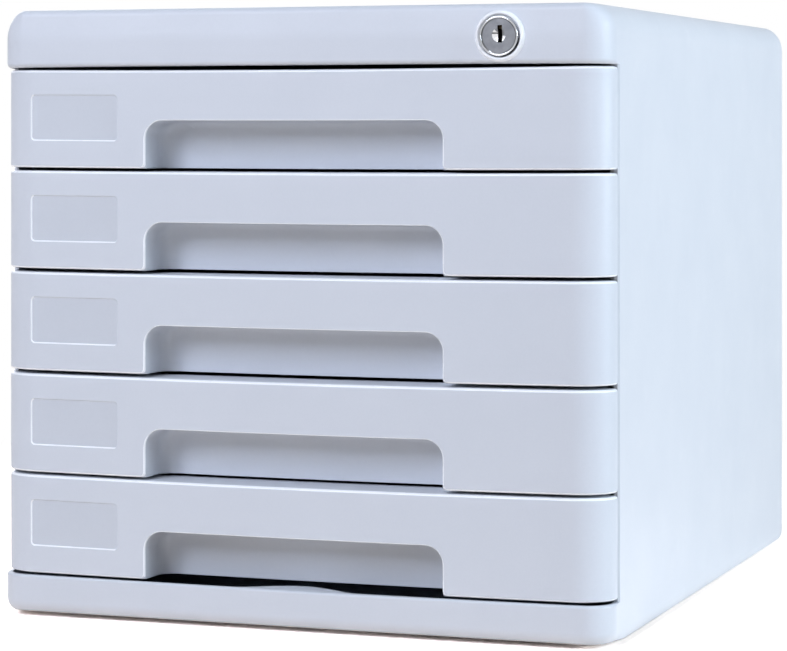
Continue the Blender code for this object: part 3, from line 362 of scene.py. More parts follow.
def turned_form(profile, centre, face, steps=TURNED_STEPS):
    """A turned form about an axis along Y. The profile gives (radius, distance behind the face),
    from the front of the outer side. A profile that starts on the axis closes at both ends."""
    form = bmesh.new()
    closed = profile[0][0] > 0
    rings = []
    for radius, behind in profile:
        if radius == 0:
            rings.append([form.verts.new((centre[0], face + behind, centre[1]))])
            continue
        rings.append([form.verts.new((centre[0] + radius * math.cos(2 * math.pi * step / steps),
                                      face + behind,
                                      centre[1] + radius * math.sin(2 * math.pi * step / steps)))
                      for step in range(steps)])
    pairs = list(zip(rings, rings[1:])) + ([(rings[-1], rings[0])] if closed else [])
    for first, second in pairs:
        for step in range(steps):
            following = (step + 1) % steps
            corners = [first[step % len(first)], first[following % len(first)],
                       second[following % len(second)], second[step % len(second)]]
            form.faces.new(list(dict.fromkeys(corners)))
    bmesh.ops.recalc_face_normals(form, faces=form.faces)
    return form


def collar_tool():
    """The moulded collar round the lock: a low rounded bead that runs out into the lid."""
    profile = [(LOCK_BORE, COLLAR_BACK), (LOCK_BORE, 0.0)]
    for step in range(2 * ROUND_STEPS + 1):
        share = smooth_share(step / (2 * ROUND_STEPS))
        profile.append((COLLAR_INNER + (COLLAR_OUTER - COLLAR_INNER) * share,
                        -COLLAR_CREST * math.sin(math.pi * share ** COLLAR_SKEW)))
    profile.append((COLLAR_OUTER, COLLAR_BACK))
    return turned_form(profile, (LOCK_X, LOCK_Z), CASING_FRONT)


WINDOW_LAP = 0.008
WINDOW_BASE = 0.020
WINDOW_HEAD = 0.018
WINDOW_ROUND = 0.006


def rounded_rectangle(low, high, radius, steps):
    """Points of a rectangle with rounded corners, given by two opposite corners."""
    points = []
    centres = ((high[0] - radius, high[1] - radius), (low[0] + radius, high[1] - radius),
               (low[0] + radius, low[1] + radius), (high[0] - radius, low[1] + radius))
    for quarter, (across, up) in enumerate(centres):
        for step in range(steps + 1):
            angle = (quarter + step / steps) * math.pi / 2
            points.append((across + radius * math.cos(angle), up + radius * math.sin(angle)))
    return points


POST_RADIUS = 0.0045
POST_HEIGHT = 0.010
POST_WEB = 0.0024
POST_STEPS = 24
SCREW_HOLE = 0.0017
SCREW_SINK_RADIUS = 0.0033
SCREW_SINK = 0.0014
HOLE_STEPS = 16
SINK_STEPS = 32
base_low, base_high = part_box("base_plate")


def named(start):
    """The CAD nodes whose names start in one way."""
    return [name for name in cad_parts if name.startswith(start)]


BACK_SCREWS = named("back_screw")
BASE_SCREWS = named("base_screw")


def middle_of(node):
    """The middle of a CAD node's box."""
    low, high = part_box(node)
    return (low + high) / 2


WINDOW_EDGE = 0.0009
WINDOW_STEPS = 5
WALL_STEPS = 4
LID_LIP = 0.0023
BAR_LIP = 0.0013
LIP_FADE = 0.007
LIP_LEAST = 0.00004
SIDE_BEVEL = 0.0009


def window_tool():
    """The window in the rear frame, with a rounded outer edge."""
    layers = []
    face = CASING_REAR - REAR_STEP
    depths = [WINDOW_EDGE * (1 - step / WINDOW_STEPS) ** 2 for step in range(WINDOW_STEPS + 1)]
    for y, grown in ([(CORNER_REAR, 0.0)]
                     + [(face - depth, drawn_in(depth, WINDOW_EDGE)) for depth in depths]
                     + [(CASING_REAR + OVERRUN, WINDOW_EDGE)]):
        layers.append((y, rounded_rectangle(
            (-CORNER_X + WINDOW_LAP - grown, CASING_BASE + WINDOW_BASE - grown),
            (CORNER_X - WINDOW_LAP + grown, CASING_TOP - WINDOW_HEAD + grown),
            WINDOW_ROUND + grown, ROUND_STEPS)))
    return swept_back(layers)


def front_path(spacing):
    """Points and outward directions along the front in plan, from the left side wall's edge
    round both corners to the right one, with the way left to the nearer end."""
    path = []
    straight = SIDE_WALL_START - CORNER_FRONT
    for step in range(WALL_STEPS):
        path.append((-HALF_WIDTH, SIDE_WALL_START - straight * step / WALL_STEPS, -1.0, 0.0))
    for sine, cosine in quarter_turn(CORNER_STEPS)[:-1]:
        path.append((-CORNER_X - PLAN_RADIUS * cosine, CORNER_FRONT - PLAN_RADIUS * sine, -cosine,
                     -sine))
    for step in range(spacing):
        path.append((-CORNER_X + 2 * CORNER_X * step / spacing, CASING_FRONT, 0.0, -1.0))
    turned = CORNER_STEPS + WALL_STEPS
    path += [(-x, y, -across, out) for x, y, across, out in reversed(path[:turned])]
    path.insert(-turned, (CORNER_X, CASING_FRONT, 0.0, -1.0))
    lengths = [0.0]
    for first, second in zip(path, path[1:]):
        lengths.append(lengths[-1] + math.dist(first[:2], second[:2]))
    return [(*point, min(length, lengths[-1] - length)) for point, length in zip(path, lengths)]


def lip_tool(edge_height, radius, upward, fade):
    """What is taken off a bar's outer edge to round it: a strip that follows the front in plan
    and whose hollow side is the round. The round runs out towards both ends."""
    rings = []
    for x, y, across, out, way in front_path(BOW_STEPS):
        here = max(radius * smooth_share(way / fade), LIP_LEAST)
        section = [(OVERRUN, -OVERRUN), (OVERRUN, here)]
        section += [(-here * (1 - cosine), here * (1 - sine))
                    for sine, cosine in quarter_turn(ROUND_STEPS)]
        section.append((-here, -OVERRUN))
        rings.append([Vector((x + across * side, y + out * side, edge_height(x) + upward * rise))
                      for side, rise in section])
    return stacked(rings)


def side_edge_tool(side):
    """What is taken off the upright front edge of a side wall to bevel it."""
    points = [(HALF_WIDTH + OVERRUN, SIDE_WALL_START - OVERRUN),
              (HALF_WIDTH - SIDE_BEVEL - OVERRUN, SIDE_WALL_START - OVERRUN),
              (HALF_WIDTH + OVERRUN, SIDE_WALL_START + SIDE_BEVEL + OVERRUN)]
    return stacked([[Vector((side * x, y, height)) for x, y in points]
                    for height in (bar_edge(HALF_WIDTH + OVERRUN) + HAIR,
                                   opening_edge(HALF_WIDTH + OVERRUN) - HAIR)])


casing_work = [("cut", casing_form(CASING_WALL, CASING_BASE - OVERRUN)),
               ("cut", opening_tool()), ("cut", window_tool()), ("join", shelf_tool()),
               ("cut", lip_tool(opening_edge, LID_LIP, 1, LIP_FADE)),
               ("cut", lip_tool(bar_edge, BAR_LIP, -1, LIP_FADE)),
               ("cut", side_edge_tool(-1)), ("cut", side_edge_tool(1)), ("join", collar_tool()),
               ("cut", round_bar(LOCK_BORE, CASING_FRONT - OVERRUN,
                                 CASING_FRONT + COLLAR_BACK + OVERRUN, (LOCK_X, LOCK_Z), "Y",
                                 TURNED_STEPS))]
for name in BASE_SCREWS:
    centre = middle_of(name)
    low = base_high.z + FIT
    wall = math.copysign(HALF_WIDTH - CASING_WALL / 2, centre.x)
    ends = sorted((centre.x, wall))
    casing_work += [
        ("join", round_bar(POST_RADIUS, low, low + POST_HEIGHT, centre.xy, "Z", POST_STEPS)),
        ("join", box_form((ends[0], centre.y - POST_WEB / 2, low + FIT),
                          (ends[1], centre.y + POST_WEB / 2, low + POST_HEIGHT - FIT))),
        ("cut", round_bar(SCREW_HOLE, low - OVERRUN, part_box(name)[1].z + FIT, centre.xy, "Z",
                          HOLE_STEPS))]
for name in BACK_SCREWS:
    centre = middle_of(name)
    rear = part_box(name)[1].y
    casing_work += [
        ("cut", round_bar(SCREW_HOLE, rear - CASING_WALL - OVERRUN, rear + OVERRUN,
                          (centre.x, centre.z), "Y", HOLE_STEPS)),
        ("cut", round_bar(SCREW_SINK_RADIUS, rear - SCREW_SINK, rear + OVERRUN,
                          (centre.x, centre.z), "Y", SINK_STEPS))]
casing = worked(casing_form(0.0, CASING_BASE), *casing_work)


def blank_material(name):
    """A new material with its nodes and links, its shader and the piece's own coordinates."""
    material = bpy.data.materials.new(name)
    material.use_nodes = True
    nodes, links = material.node_tree.nodes, material.node_tree.links
    coordinates = nodes.new("ShaderNodeTexCoord").outputs["Object"]
    return material, nodes, links, nodes["Principled BSDF"], coordinates


def fine_noise(nodes, links, coordinates, scale, detail):
    """A noise texture in the piece's own coordinates."""
    noise = nodes.new("ShaderNodeTexNoise")
    noise.inputs["Scale"].default_value = scale
    noise.inputs["Detail"].default_value = detail
    links.new(coordinates, noise.inputs["Vector"])
    return noise.outputs["Fac"]


NOISE_LOW = 0.3
NOISE_HIGH = 0.7


def spread(nodes, links, source, low, high, from_low=NOISE_LOW, from_high=NOISE_HIGH):
    """Stretch a texture's value to a range."""
    ranged = nodes.new("ShaderNodeMapRange")
    ranged.inputs["From Min"].default_value = from_low
    ranged.inputs["From Max"].default_value = from_high
    ranged.inputs["To Min"].default_value = low
    ranged.inputs["To Max"].default_value = high
    links.new(source, ranged.inputs["Value"])
    return ranged.outputs["Result"]


def two_tone(nodes, links, share, first, second):
    """A colour that runs from the first to the second by a share."""
    tone = nodes.new("ShaderNodeMix")
    tone.data_type = "RGBA"
    tone.inputs["A"].default_value = (*first, 1.0)
    tone.inputs["B"].default_value = (*second, 1.0)
    links.new(share, tone.inputs["Factor"])
    return tone.outputs["Result"]


def combined(nodes, links, operation, first, second):
    """Two values made into one, such as their product."""
    maths = nodes.new("ShaderNodeMath")
    maths.operation = operation
    links.new(first, maths.inputs[0])
    links.new(second, maths.inputs[1])
    return maths.outputs["Value"]


def relief(nodes, links, height, strength, depth):
    """A fine relief of a surface, from a texture's value."""
    surface = nodes.new("ShaderNodeBump")
    surface.inputs["Strength"].default_value = strength
    surface.inputs["Distance"].default_value = depth
    links.new(height, surface.inputs["Height"])
    return surface


ABS_IOR = 1.5
MOTTLE_SCALE = 26.0
SPECK_SCALE = 900.0
SPECK_DARKEST = 0.985
RUB_SCALE = 60.0
RUB_FROM, RUB_TO = 0.58, 0.72
GRAIN_SCALE = 2600.0
GRAIN_STRENGTH = 0.35
FLOW_SCALE = 42.0
FLOW_STRENGTH = 0.25
FLOW_DEPTH = 0.0002


def moulded_plastic(name, pale, deep, smoothest, roughest, grain_depth, scuffs=0.0):
    """Injection moulded plastic: a faint flow mottle, a fine spark-eroded grain that shows in
    the gloss, polished high spots and a few rubbed places."""
    material, nodes, links, shader, coordinates = blank_material(name)
    shader.inputs["IOR"].default_value = ABS_IOR
    mottle = fine_noise(nodes, links, coordinates, MOTTLE_SCALE, 4.0)
    speck = fine_noise(nodes, links, coordinates, SPECK_SCALE, 2.0)
    level = spread(nodes, links, speck, SPECK_DARKEST, 1.0)
    grey = nodes.new("ShaderNodeCombineColor")
    for channel in ("Red", "Green", "Blue"):
        links.new(level, grey.inputs[channel])
    speckled = nodes.new("ShaderNodeMix")
    speckled.data_type = "RGBA"
    speckled.blend_type = "MULTIPLY"
    speckled.inputs["Factor"].default_value = 1.0
    links.new(two_tone(nodes, links, spread(nodes, links, mottle, 0.0, 1.0), deep, pale),
              speckled.inputs["A"])
    links.new(grey.outputs["Color"], speckled.inputs["B"])
    links.new(speckled.outputs["Result"], shader.inputs["Base Color"])
    rubbed = fine_noise(nodes, links, coordinates, RUB_SCALE, 6.0)
    roughness = combined(nodes, links, "SUBTRACT",
                         spread(nodes, links, mottle, roughest, smoothest),
                         spread(nodes, links, rubbed, 0.0, scuffs, RUB_FROM, RUB_TO))
    links.new(roughness, shader.inputs["Roughness"])
    grain = fine_noise(nodes, links, coordinates, GRAIN_SCALE, 3.0)
    flow = fine_noise(nodes, links, coordinates, FLOW_SCALE, 2.0)
    surface = relief(nodes, links, grain, GRAIN_STRENGTH, grain_depth)
    waves = relief(nodes, links, flow, FLOW_STRENGTH, FLOW_DEPTH)
    links.new(surface.outputs["Normal"], waves.inputs["Normal"])
    links.new(waves.outputs["Normal"], shader.inputs["Normal"])
    return material


white_plastic = moulded_plastic("white_abs", (0.66, 0.685, 0.73), (0.645, 0.67, 0.715),
                                0.42, 0.50, 0.00004, 0.06)
# Near-white, glossier plastic for edge rounds, the lock collar and the lit edges of the label
# recess: a painted highlight.
painted_highlight_edge = moulded_plastic("painted_highlight_edge_abs", (0.96, 0.97, 0.985), (0.94, 0.95, 0.97),
                              0.24, 0.34, 0.00003)
# Near-black plastic on the downward faces of the casing's foot edge: painted shade for the dark
# line under the base.
painted_shade_edge = moulded_plastic("painted_shade_edge_abs", (0.11, 0.106, 0.10), (0.07, 0.067, 0.063),
                             0.5, 0.6, 0.00006)
DOWNWARD = -0.1
casing_piece = show("casing_shell", casing, "casing", "white_plastic", "housing_shell",
                    white_plastic, painted_highlight_edge, painted_shade_edge)
for face in casing_piece.data.polygons:
    middle = face.center
    # Downward faces at the foot edge get the near-black plastic as painted shade.
    if middle.z < CASING_BASE + FOOT_EDGE and face.normal.z < DOWNWARD:
        face.material_index = 2
    # The lock collar's faces get the near-white edge plastic as a painted highlight.
    away = math.hypot(middle.x - LOCK_X, middle.z - LOCK_Z)
    if middle.y < CASING_FRONT - MERGE and away < COLLAR_OUTER:
        face.material_index = 1

# The base plate: a flat moulded floor, screwed to the four posts of the casing from below.
# It sits inside the casing's lower edge and carries the feet.
inner_plastic = moulded_plastic("grey_abs", (0.58, 0.61, 0.67), (0.55, 0.585, 0.645),
                                0.42, 0.52, 0.00006)
BASE_EDGE = 0.0006
base_rings = []
for height, inset in ((base_low.z, BASE_EDGE), (base_low.z + BASE_EDGE, 0.0),
                      (base_high.z - BASE_EDGE, 0.0), (base_high.z, BASE_EDGE)):
    base_rings.append(plan_ring(height, base_high.x - inset, base_low.y + inset,
                                base_high.y - inset, CORNER_X, CORNER_FRONT, CORNER_REAR,
                                CORNER_STEPS))
base_work = []
for name in BASE_SCREWS:
    centre = middle_of(name).xy
    base_work += [("cut", round_bar(SCREW_HOLE, base_low.z - OVERRUN, base_high.z + OVERRUN,
                                    centre, "Z", HOLE_STEPS)),
                  ("cut", round_bar(SCREW_SINK_RADIUS, base_low.z - OVERRUN,
                                    base_low.z + SCREW_SINK, centre, "Z", SINK_STEPS))]
show("floor_plate", worked(stacked(base_rings), *base_work), "casing", "inner_plastic",
     "base_plate", inner_plastic)

# The back panel and the two runner panels: flat mouldings behind and beside the trays. They
# keep their made shape, with a finer matt grain than the casing.
for name in ("back_panel", "left_runner_panel", "right_runner_panel"):
    dressed(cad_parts[name], inner_plastic)

# The feet: soft rubber pads pressed into the base plate, slightly domed at the rim and
# dished in the middle, dull and dusty.
PAD_EDGE = 0.0004
PAD_DISH = 0.0002
PAD_DISH_SHARE = 0.45
PAD_STEPS = 48
DISH_STEPS = 32
DUST_SCALE = 300.0
DUST_MOST = 0.8
RUBBER_GRAIN_SCALE = 3000.0
RUBBER_GRAIN_STRENGTH = 0.5
RUBBER_GRAIN_DEPTH = 0.00008


def rubber(name, colour, dusty, smoothest, roughest):
    """Soft black rubber with a fine open grain and a little dust."""
    material, nodes, links, shader, coordinates = blank_material(name)
    dust = fine_noise(nodes, links, coordinates, DUST_SCALE, 5.0)
    links.new(two_tone(nodes, links, spread(nodes, links, dust, 0.0, DUST_MOST), colour, dusty),
              shader.inputs["Base Color"])
    links.new(spread(nodes, links, dust, smoothest, roughest), shader.inputs["Roughness"])
    grain = fine_noise(nodes, links, coordinates, RUBBER_GRAIN_SCALE, 3.0)
    surface = relief(nodes, links, grain, RUBBER_GRAIN_STRENGTH, RUBBER_GRAIN_DEPTH)
    links.new(surface.outputs["Normal"], shader.inputs["Normal"])
    return material


foot_rubber = rubber("black_rubber", (0.035, 0.035, 0.038), (0.09, 0.088, 0.085), 0.65, 0.85)
for name in named("foot_"):
    low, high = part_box(name)
    radius = (high.x - low.x) / 2
    centre = middle_of(name)
    rings = []
    for height, inset in ((low.z, PAD_EDGE), (low.z + PAD_EDGE / 2, PAD_EDGE / 4),
                          (low.z + PAD_EDGE, 0.0), (high.z, 0.0)):
        angles = [2 * math.pi * step / PAD_STEPS for step in range(PAD_STEPS)]
        rings.append([Vector((centre.x + (radius - inset) * math.cos(angle),
                              centre.y + (radius - inset) * math.sin(angle), height))
                      for angle in angles])
    dish = round_bar(radius * PAD_DISH_SHARE, low.z - OVERRUN, low.z + PAD_DISH, centre.xy, "Z",
                     DISH_STEPS)
    show(name + "_pad", worked(stacked(rings), ("cut", dish)), "casing", "soft_rubber", name,
         foot_rubber)

# The screws: small zinc plated pan heads with a cross recess, four under the base plate and
# four in the frame of the back panel.
SCREW_HEAD = 0.003
SCREW_DOME = 0.0004
SCREW_RIM = 0.0006
SCREW_NECK = 0.0007
SCREW_SHANK = 0.0014
SCREW_TIP = 0.0007
SCREW_POINT = 0.001
DOME_STEPS = 6
SCREW_STEPS = 32
CROSS_LENGTH = 0.0032
CROSS_WIDTH = 0.0007
CROSS_DEPTH = 0.0009
PATCH_SCALE = 220.0
BRUSHING_STRENGTH = 0.25
BRUSHING_DEPTH = 0.00003


def plated_metal(name, bright, dull, smoothest, roughest, grain_scale):
    """Plated or ground metal with fine brushing and dull patches."""
    material, nodes, links, shader, coordinates = blank_material(name)
    shader.inputs["Metallic"].default_value = 1.0
    patches = fine_noise(nodes, links, coordinates, PATCH_SCALE, 5.0)
    links.new(two_tone(nodes, links, spread(nodes, links, patches, 0.0, 1.0), dull, bright),
              shader.inputs["Base Color"])
    links.new(spread(nodes, links, patches, roughest, smoothest), shader.inputs["Roughness"])
    grain = fine_noise(nodes, links, coordinates, grain_scale, 3.0)
    surface = relief(nodes, links, grain, BRUSHING_STRENGTH, BRUSHING_DEPTH)
    links.new(surface.outputs["Normal"], shader.inputs["Normal"])
    return material


zinc_plate = plated_metal("zinc_plate", (0.68, 0.69, 0.70), (0.52, 0.53, 0.55), 0.25, 0.42, 2500.0)


def screw_form(place, length, turn):
    """A screw with its head's outer face at a place, driven along the turned direction."""
    profile = [(SCREW_HEAD * sine, -SCREW_DOME * cosine)
               for sine, cosine in quarter_turn(DOME_STEPS)]
    profile += [(SCREW_HEAD, SCREW_RIM), (SCREW_SHANK, SCREW_NECK),
                (SCREW_SHANK, length - SCREW_POINT), (SCREW_TIP, length), (0.0, length)]
    form = turned_form([(radius, behind + SCREW_DOME) for radius, behind in profile], (0, 0), 0.0,
                       SCREW_STEPS)
    reach = CROSS_LENGTH / 2
    half = CROSS_WIDTH / 2
    form = worked(form, ("cut", box_form((-reach, -OVERRUN, -half), (reach, CROSS_DEPTH, half))),
                  ("cut", box_form((-half, -OVERRUN, -reach), (half, CROSS_DEPTH, reach))))
    bmesh.ops.transform(form, matrix=Matrix.Translation(place) @ turn, verts=form.verts)
    return form


for name in BASE_SCREWS + BACK_SCREWS:
    low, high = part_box(name)
    centre = middle_of(name)
    if name in BASE_SCREWS:
        place, length = (centre.x, centre.y, low.z), high.z - low.z
        turn = Matrix.Rotation(math.pi / 2, 4, "X")
    else:
        place, length = (centre.x, high.y, centre.z), high.y - low.y
        turn = Matrix.Rotation(math.pi, 4, "Z")
    show(name + "_driven", screw_form(place, length, turn), "casing", "zinc_steel", name,
         zinc_plate)

# The drawer fronts: one white moulding each, flat in front and wrapped round both corners,
# with a finger pocket open below, a shallow label recess and two snap arms for the tray.
# They are long and thin, so each hangs a little in its middle.
FRONT_INSET = 0.0007
FRONT_RADIUS = 0.014
FRONT_CORNER_RUN = 0.0175
FRONT_DEPTH = 0.024
FRONT_SKIN = 0.0024
FRONT_EDGE = 0.0012
FRONT_TOP_EDGE = 0.0016
WRAP_EDGE = 0.0002
TOP_EASE = 0.0002
FRONT_BACK_HALF = 0.143
FRONT_BACK_WALL = 0.002
TOP_FLANGE = 0.0022
FRONT_STEPS = 18
PITCH = (LAST_LINE - FIRST_LINE) / 5
FRONT_LOW = SEAM / 2
FRONT_HIGH = PITCH - SEAM / 2
FRONT_HALF = HALF_WIDTH - FRONT_INSET
POCKET_HALF = 0.0731
POCKET_MIDDLE = -0.0011
POCKET_RISE = 0.02325
POCKET_DEPTH = 0.022
POCKET_RADIUS = 0.0085
POCKET_FOOT = 0.0028
POCKET_FOOT_BASE = 0.0003
POCKET_FOOT_LEAST = 0.00001
POCKET_WALL = 0.002
POCKET_RIM = 0.0010
POCKET_HEAD_RIM = 0.0004
POCKET_BACK_ROUND = 0.0075
POCKET_CEILING_ROUND = 0.004
POCKET_STEPS = 12
EDGE_STEPS = 5
RIM_STEPS = 6
SKIN_SHARES = (0.6, 0.8, 1.0)
LABEL_WIDTH = 0.0440
LABEL_HEIGHT = 0.0209
LABEL_LEFT = -0.1327
LABEL_BASE = 0.01385
LABEL_DEPTH = 0.0006
LABEL_DRAFT = 0.0006
LABEL_RADIUS = 0.0015
ARM_OFFSET = 0.110
ARM_WIDTH = 0.003
ARM_BASE = 0.020
ARM_HEIGHT = 0.008
ARM_BARB = 0.0015
ARM_BARB_LENGTH = 0.002
TRAY_WALL = 0.002
SAG_STATIONS = 18
SEAM_LINES = ((-0.00023, 0.0006, 0.0), (-0.00041, 0.00011, 0.0001), (-0.00037, 0.00024, 0.0003),
              (0.00007, 0.00082, 0.0003), (0.00025, 0.00123, 0.0), (0.00023, 0.00087, 0.0))


def pocket_outline(depth):
    """The finger pocket in X and Z at a depth behind the front, with its rim and back rounds."""
    grown = drawn_in(depth, POCKET_RIM)
    from_back = POCKET_DEPTH - depth
    side = grown - drawn_in(from_back, POCKET_BACK_ROUND)
    top = drawn_in(depth, POCKET_HEAD_RIM) - drawn_in(from_back, POCKET_CEILING_ROUND)
    half = POCKET_HALF + side
    high = POCKET_RISE + top
    low = -OVERRUN
    radius = POCKET_RADIUS + grown
    foot = POCKET_FOOT * (1 - smooth_share(depth / FRONT_SKIN)) + POCKET_FOOT_LEAST
    turn = quarter_turn(POCKET_STEPS)
    right = [(half - radius * (1 - sine), high - radius * (1 - cosine)) for sine, cosine in turn]
    right += [(half + foot * (1 - cosine), FRONT_LOW + POCKET_FOOT_BASE + foot * (1 - sine))
              for sine, cosine in turn]
    right.append((half + foot, low))
    return ([(POCKET_MIDDLE - across, up) for across, up in right]
            + [(POCKET_MIDDLE + across, up) for across, up in reversed(right)])


def front_form():
    """One drawer front with its seam line at height zero."""
    wrap_rear = DRAWER_PLANE + FRONT_WRAP + FIT / 2
    rear = DRAWER_PLANE + FRONT_DEPTH
    rings = []
    shares = [1 - cosine for sine, cosine in quarter_turn(EDGE_STEPS)]
    heights = [(FRONT_LOW + FRONT_EDGE * share, drawn_in(FRONT_EDGE * share, FRONT_EDGE))
               for share in shares]
    heights += [(FRONT_HIGH - TOP_EASE - FRONT_TOP_EDGE * share,
                 drawn_in(FRONT_TOP_EDGE * share, FRONT_TOP_EDGE)) for share in reversed(shares)]
    for height, inset in heights:
        rings.append(plan_ring(height, FRONT_HALF - inset, DRAWER_PLANE + inset, wrap_rear,
                               FRONT_HALF - FRONT_CORNER_RUN, DRAWER_PLANE + FRONT_RADIUS,
                               wrap_rear - WRAP_EDGE, FRONT_STEPS))
    hollow_half = FRONT_BACK_HALF - FRONT_BACK_WALL
    hollow_front = DRAWER_PLANE + FRONT_SKIN
    hollow_radius = FRONT_RADIUS - FRONT_SKIN
    hollow = stacked([plan_ring(height, hollow_half, hollow_front, rear + OVERRUN,
                                hollow_half - hollow_radius, hollow_front + hollow_radius, rear,
                                FRONT_STEPS)
                      for height in (FRONT_LOW + FRONT_BACK_WALL,
                                     FRONT_HIGH - TOP_EASE - TOP_FLANGE)])
    pocket_outer = POCKET_HALF + POCKET_WALL
    depths = [-OVERRUN] + [POCKET_RIM * (1 - cosine) for sine, cosine in quarter_turn(RIM_STEPS)]
    depths += [FRONT_SKIN * share for share in SKIN_SHARES]
    depths += [POCKET_DEPTH - POCKET_BACK_ROUND * cosine
               for sine, cosine in quarter_turn(POCKET_STEPS)]
    pocket = swept_back([(DRAWER_PLANE + depth, pocket_outline(max(depth, 0.0)))
                         for depth in depths])
    label = []
    for depth, grown in ((-OVERRUN, LABEL_DRAFT), (0.0, LABEL_DRAFT), (LABEL_DEPTH, 0.0)):
        outline = rounded_rectangle((LABEL_LEFT - grown, LABEL_BASE - grown),
                                    (LABEL_LEFT + LABEL_WIDTH + grown,
                                     LABEL_BASE + LABEL_HEIGHT + grown),
                                    LABEL_RADIUS + grown, RIM_STEPS)
        label.append((DRAWER_PLANE + depth, outline))
    work = [("join", box_form((-FRONT_BACK_HALF, DRAWER_PLANE + FRONT_RADIUS, FRONT_LOW),
                              (FRONT_BACK_HALF, rear, FRONT_HIGH - TOP_EASE))),
            ("cut", hollow),
            ("join", box_form((POCKET_MIDDLE - pocket_outer, DRAWER_PLANE + FRONT_SKIN / 2,
                               FRONT_LOW + FRONT_EDGE),
                              (POCKET_MIDDLE + pocket_outer, rear, POCKET_RISE + POCKET_WALL))),
            ("cut", pocket), ("cut", swept_back(label))]
    for side in (-1, 1):
        left = side * ARM_OFFSET - ARM_WIDTH / 2
        right = side * ARM_OFFSET + ARM_WIDTH / 2
        barb_front = rear + FIT + TRAY_WALL + FIT
        barb_rear = barb_front + ARM_BARB_LENGTH
        high = ARM_BASE + ARM_HEIGHT
        work += [("join", box_form((left, DRAWER_PLANE + FRONT_SKIN / 2, ARM_BASE),
                                   (right, barb_rear, high))),
                 ("join", box_form((left, barb_front, high - ARM_BARB),
                                   (right, barb_rear, high + ARM_BARB)))]
    return worked(stacked(rings), *work)


def sagged(form, number):
    """Let a front hang a little in its middle, between the seam above it and the one below.
    Each seam line has its own drop at the ends, drop in the middle and added width."""
    upper, lower = SEAM_LINES[number - 1:number + 1]
    for point in form.verts:
        inward = 1 - min(abs(point.co.x) / HALF_WIDTH, 1.0) ** 2
        high = upper[0] + (upper[1] - upper[0]) * inward + upper[2] / 2
        low = lower[0] + (lower[1] - lower[0]) * inward - lower[2] / 2
        point.co.z -= low + (high - low) * point.co.z / PITCH
    return form


label_floor = moulded_plastic("label_floor_abs", (0.61, 0.635, 0.68), (0.595, 0.62, 0.665),
                              0.46, 0.54, 0.00006)
LABEL_MIDDLE = LABEL_LEFT + LABEL_WIDTH / 2
LABEL_BAND = LABEL_HEIGHT * 0.7
EDGE_BEHIND = FRONT_EDGE * 0.75
FACING = 0.98
WRAP_LEVEL, WRAP_STEEP = 0.2, 0.95
LIT_SIDE = -0.3
FRONT_SHARP = 24
pattern = bpy.data.meshes.new("drawer_front_pattern")
form = front_form()
foot_end = POCKET_HALF + POCKET_RIM + POCKET_FOOT + FIT
stations = [(FRONT_HALF - FRONT_CORNER_RUN) * (2 * step / SAG_STATIONS - 1)
            for step in range(SAG_STATIONS + 1)]
for station in stations + [POCKET_MIDDLE - foot_end, POCKET_MIDDLE + foot_end]:
    bmesh.ops.bisect_plane(form, geom=[*form.verts, *form.edges, *form.faces], dist=MERGE,
                           plane_co=(station, 0, 0), plane_no=(1, 0, 0))
form.to_mesh(pattern)
form.free()
for number in DRAWERS:
    form = bmesh.new()
    form.from_mesh(pattern)
    sagged(form, number)
    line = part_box(f"drawer_{number}_front")[0].z - FRONT_LOW
    bmesh.ops.translate(form, verts=form.verts, vec=(0, 0, line))
    front = show(f"drawer_{number}_face", form, f"drawer_{number}", "white_plastic",
                 f"drawer_{number}_front", white_plastic, label_floor, painted_highlight_edge,
                 sharp_angle=FRONT_SHARP)
    # Edge rounds, bands on the corner wraps and the lit edges of the label recess get the
    # near-white edge plastic as a painted highlight; the label floor gets its own plastic.
    for face in front.data.polygons:
        middle, normal = face.center, face.normal
        at_label = (abs(middle.x - LABEL_MIDDLE) < LABEL_WIDTH / 2 + LABEL_DRAFT
                    and abs(middle.z - line - PITCH / 2) < LABEL_BAND)
        in_wrap = abs(middle.x) > FRONT_HALF - FRONT_CORNER_RUN
        behind = middle.y - DRAWER_PLANE
        if at_label and abs(behind - LABEL_DEPTH) < HAIR:
            face.material_index = 1
        elif (behind < EDGE_BEHIND and abs(normal.y) < FACING and (at_label or not in_wrap)
              and not (at_label and min(normal.x, normal.z) < LIT_SIDE)):
            face.material_index = 2
        elif in_wrap and behind < FRONT_WRAP and WRAP_LEVEL < abs(normal.z) < WRAP_STEEP:
            face.material_index = 2
bpy.data.meshes.remove(pattern)

# The trays: open boxes for paper in light grey matt plastic, with side flanges that run on
# the ledges, lugs for the stops and a catch for the locking bar.
tray_plastic = moulded_plastic("tray_abs", (0.62, 0.65, 0.71), (0.59, 0.625, 0.69),
                               0.40, 0.50, 0.00006, 0.06)
for number in DRAWERS:
    dressed(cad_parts[f"drawer_{number}_tray"], tray_plastic)

# The lock: a chrome plated brass body whose round head stands in front of the collar, held
# from inside by a hexagon nut.
HEAD_RADIUS = 0.0090
HEAD_FACE = barrel_low.y
BARREL_RADIUS = 0.0079
BARREL_FLAT = 0.0069
PLUG_RADIUS = 0.0055
RECESS_RADIUS = 0.0081
RECESS_DEPTH = 0.0014
HEAD_THICKNESS = 0.0017
INNER_BEAD = 0.0004
OUTER_BEAD = 0.0005
BEAD_STEPS = 10
chrome = plated_metal("bright_chrome", (0.54, 0.55, 0.57), (0.48, 0.49, 0.51), 0.05, 0.10, 1200.0)
head_profile = [(RECESS_RADIUS + INNER_BEAD * (1 - cosine), INNER_BEAD * (1 - sine))
                for sine, cosine in quarter_turn(ROUND_STEPS)[1:-1]]
head_profile += [(HEAD_RADIUS - OUTER_BEAD * (1 - sine), OUTER_BEAD * (1 - cosine))
                 for sine, cosine in quarter_turn(BEAD_STEPS)]
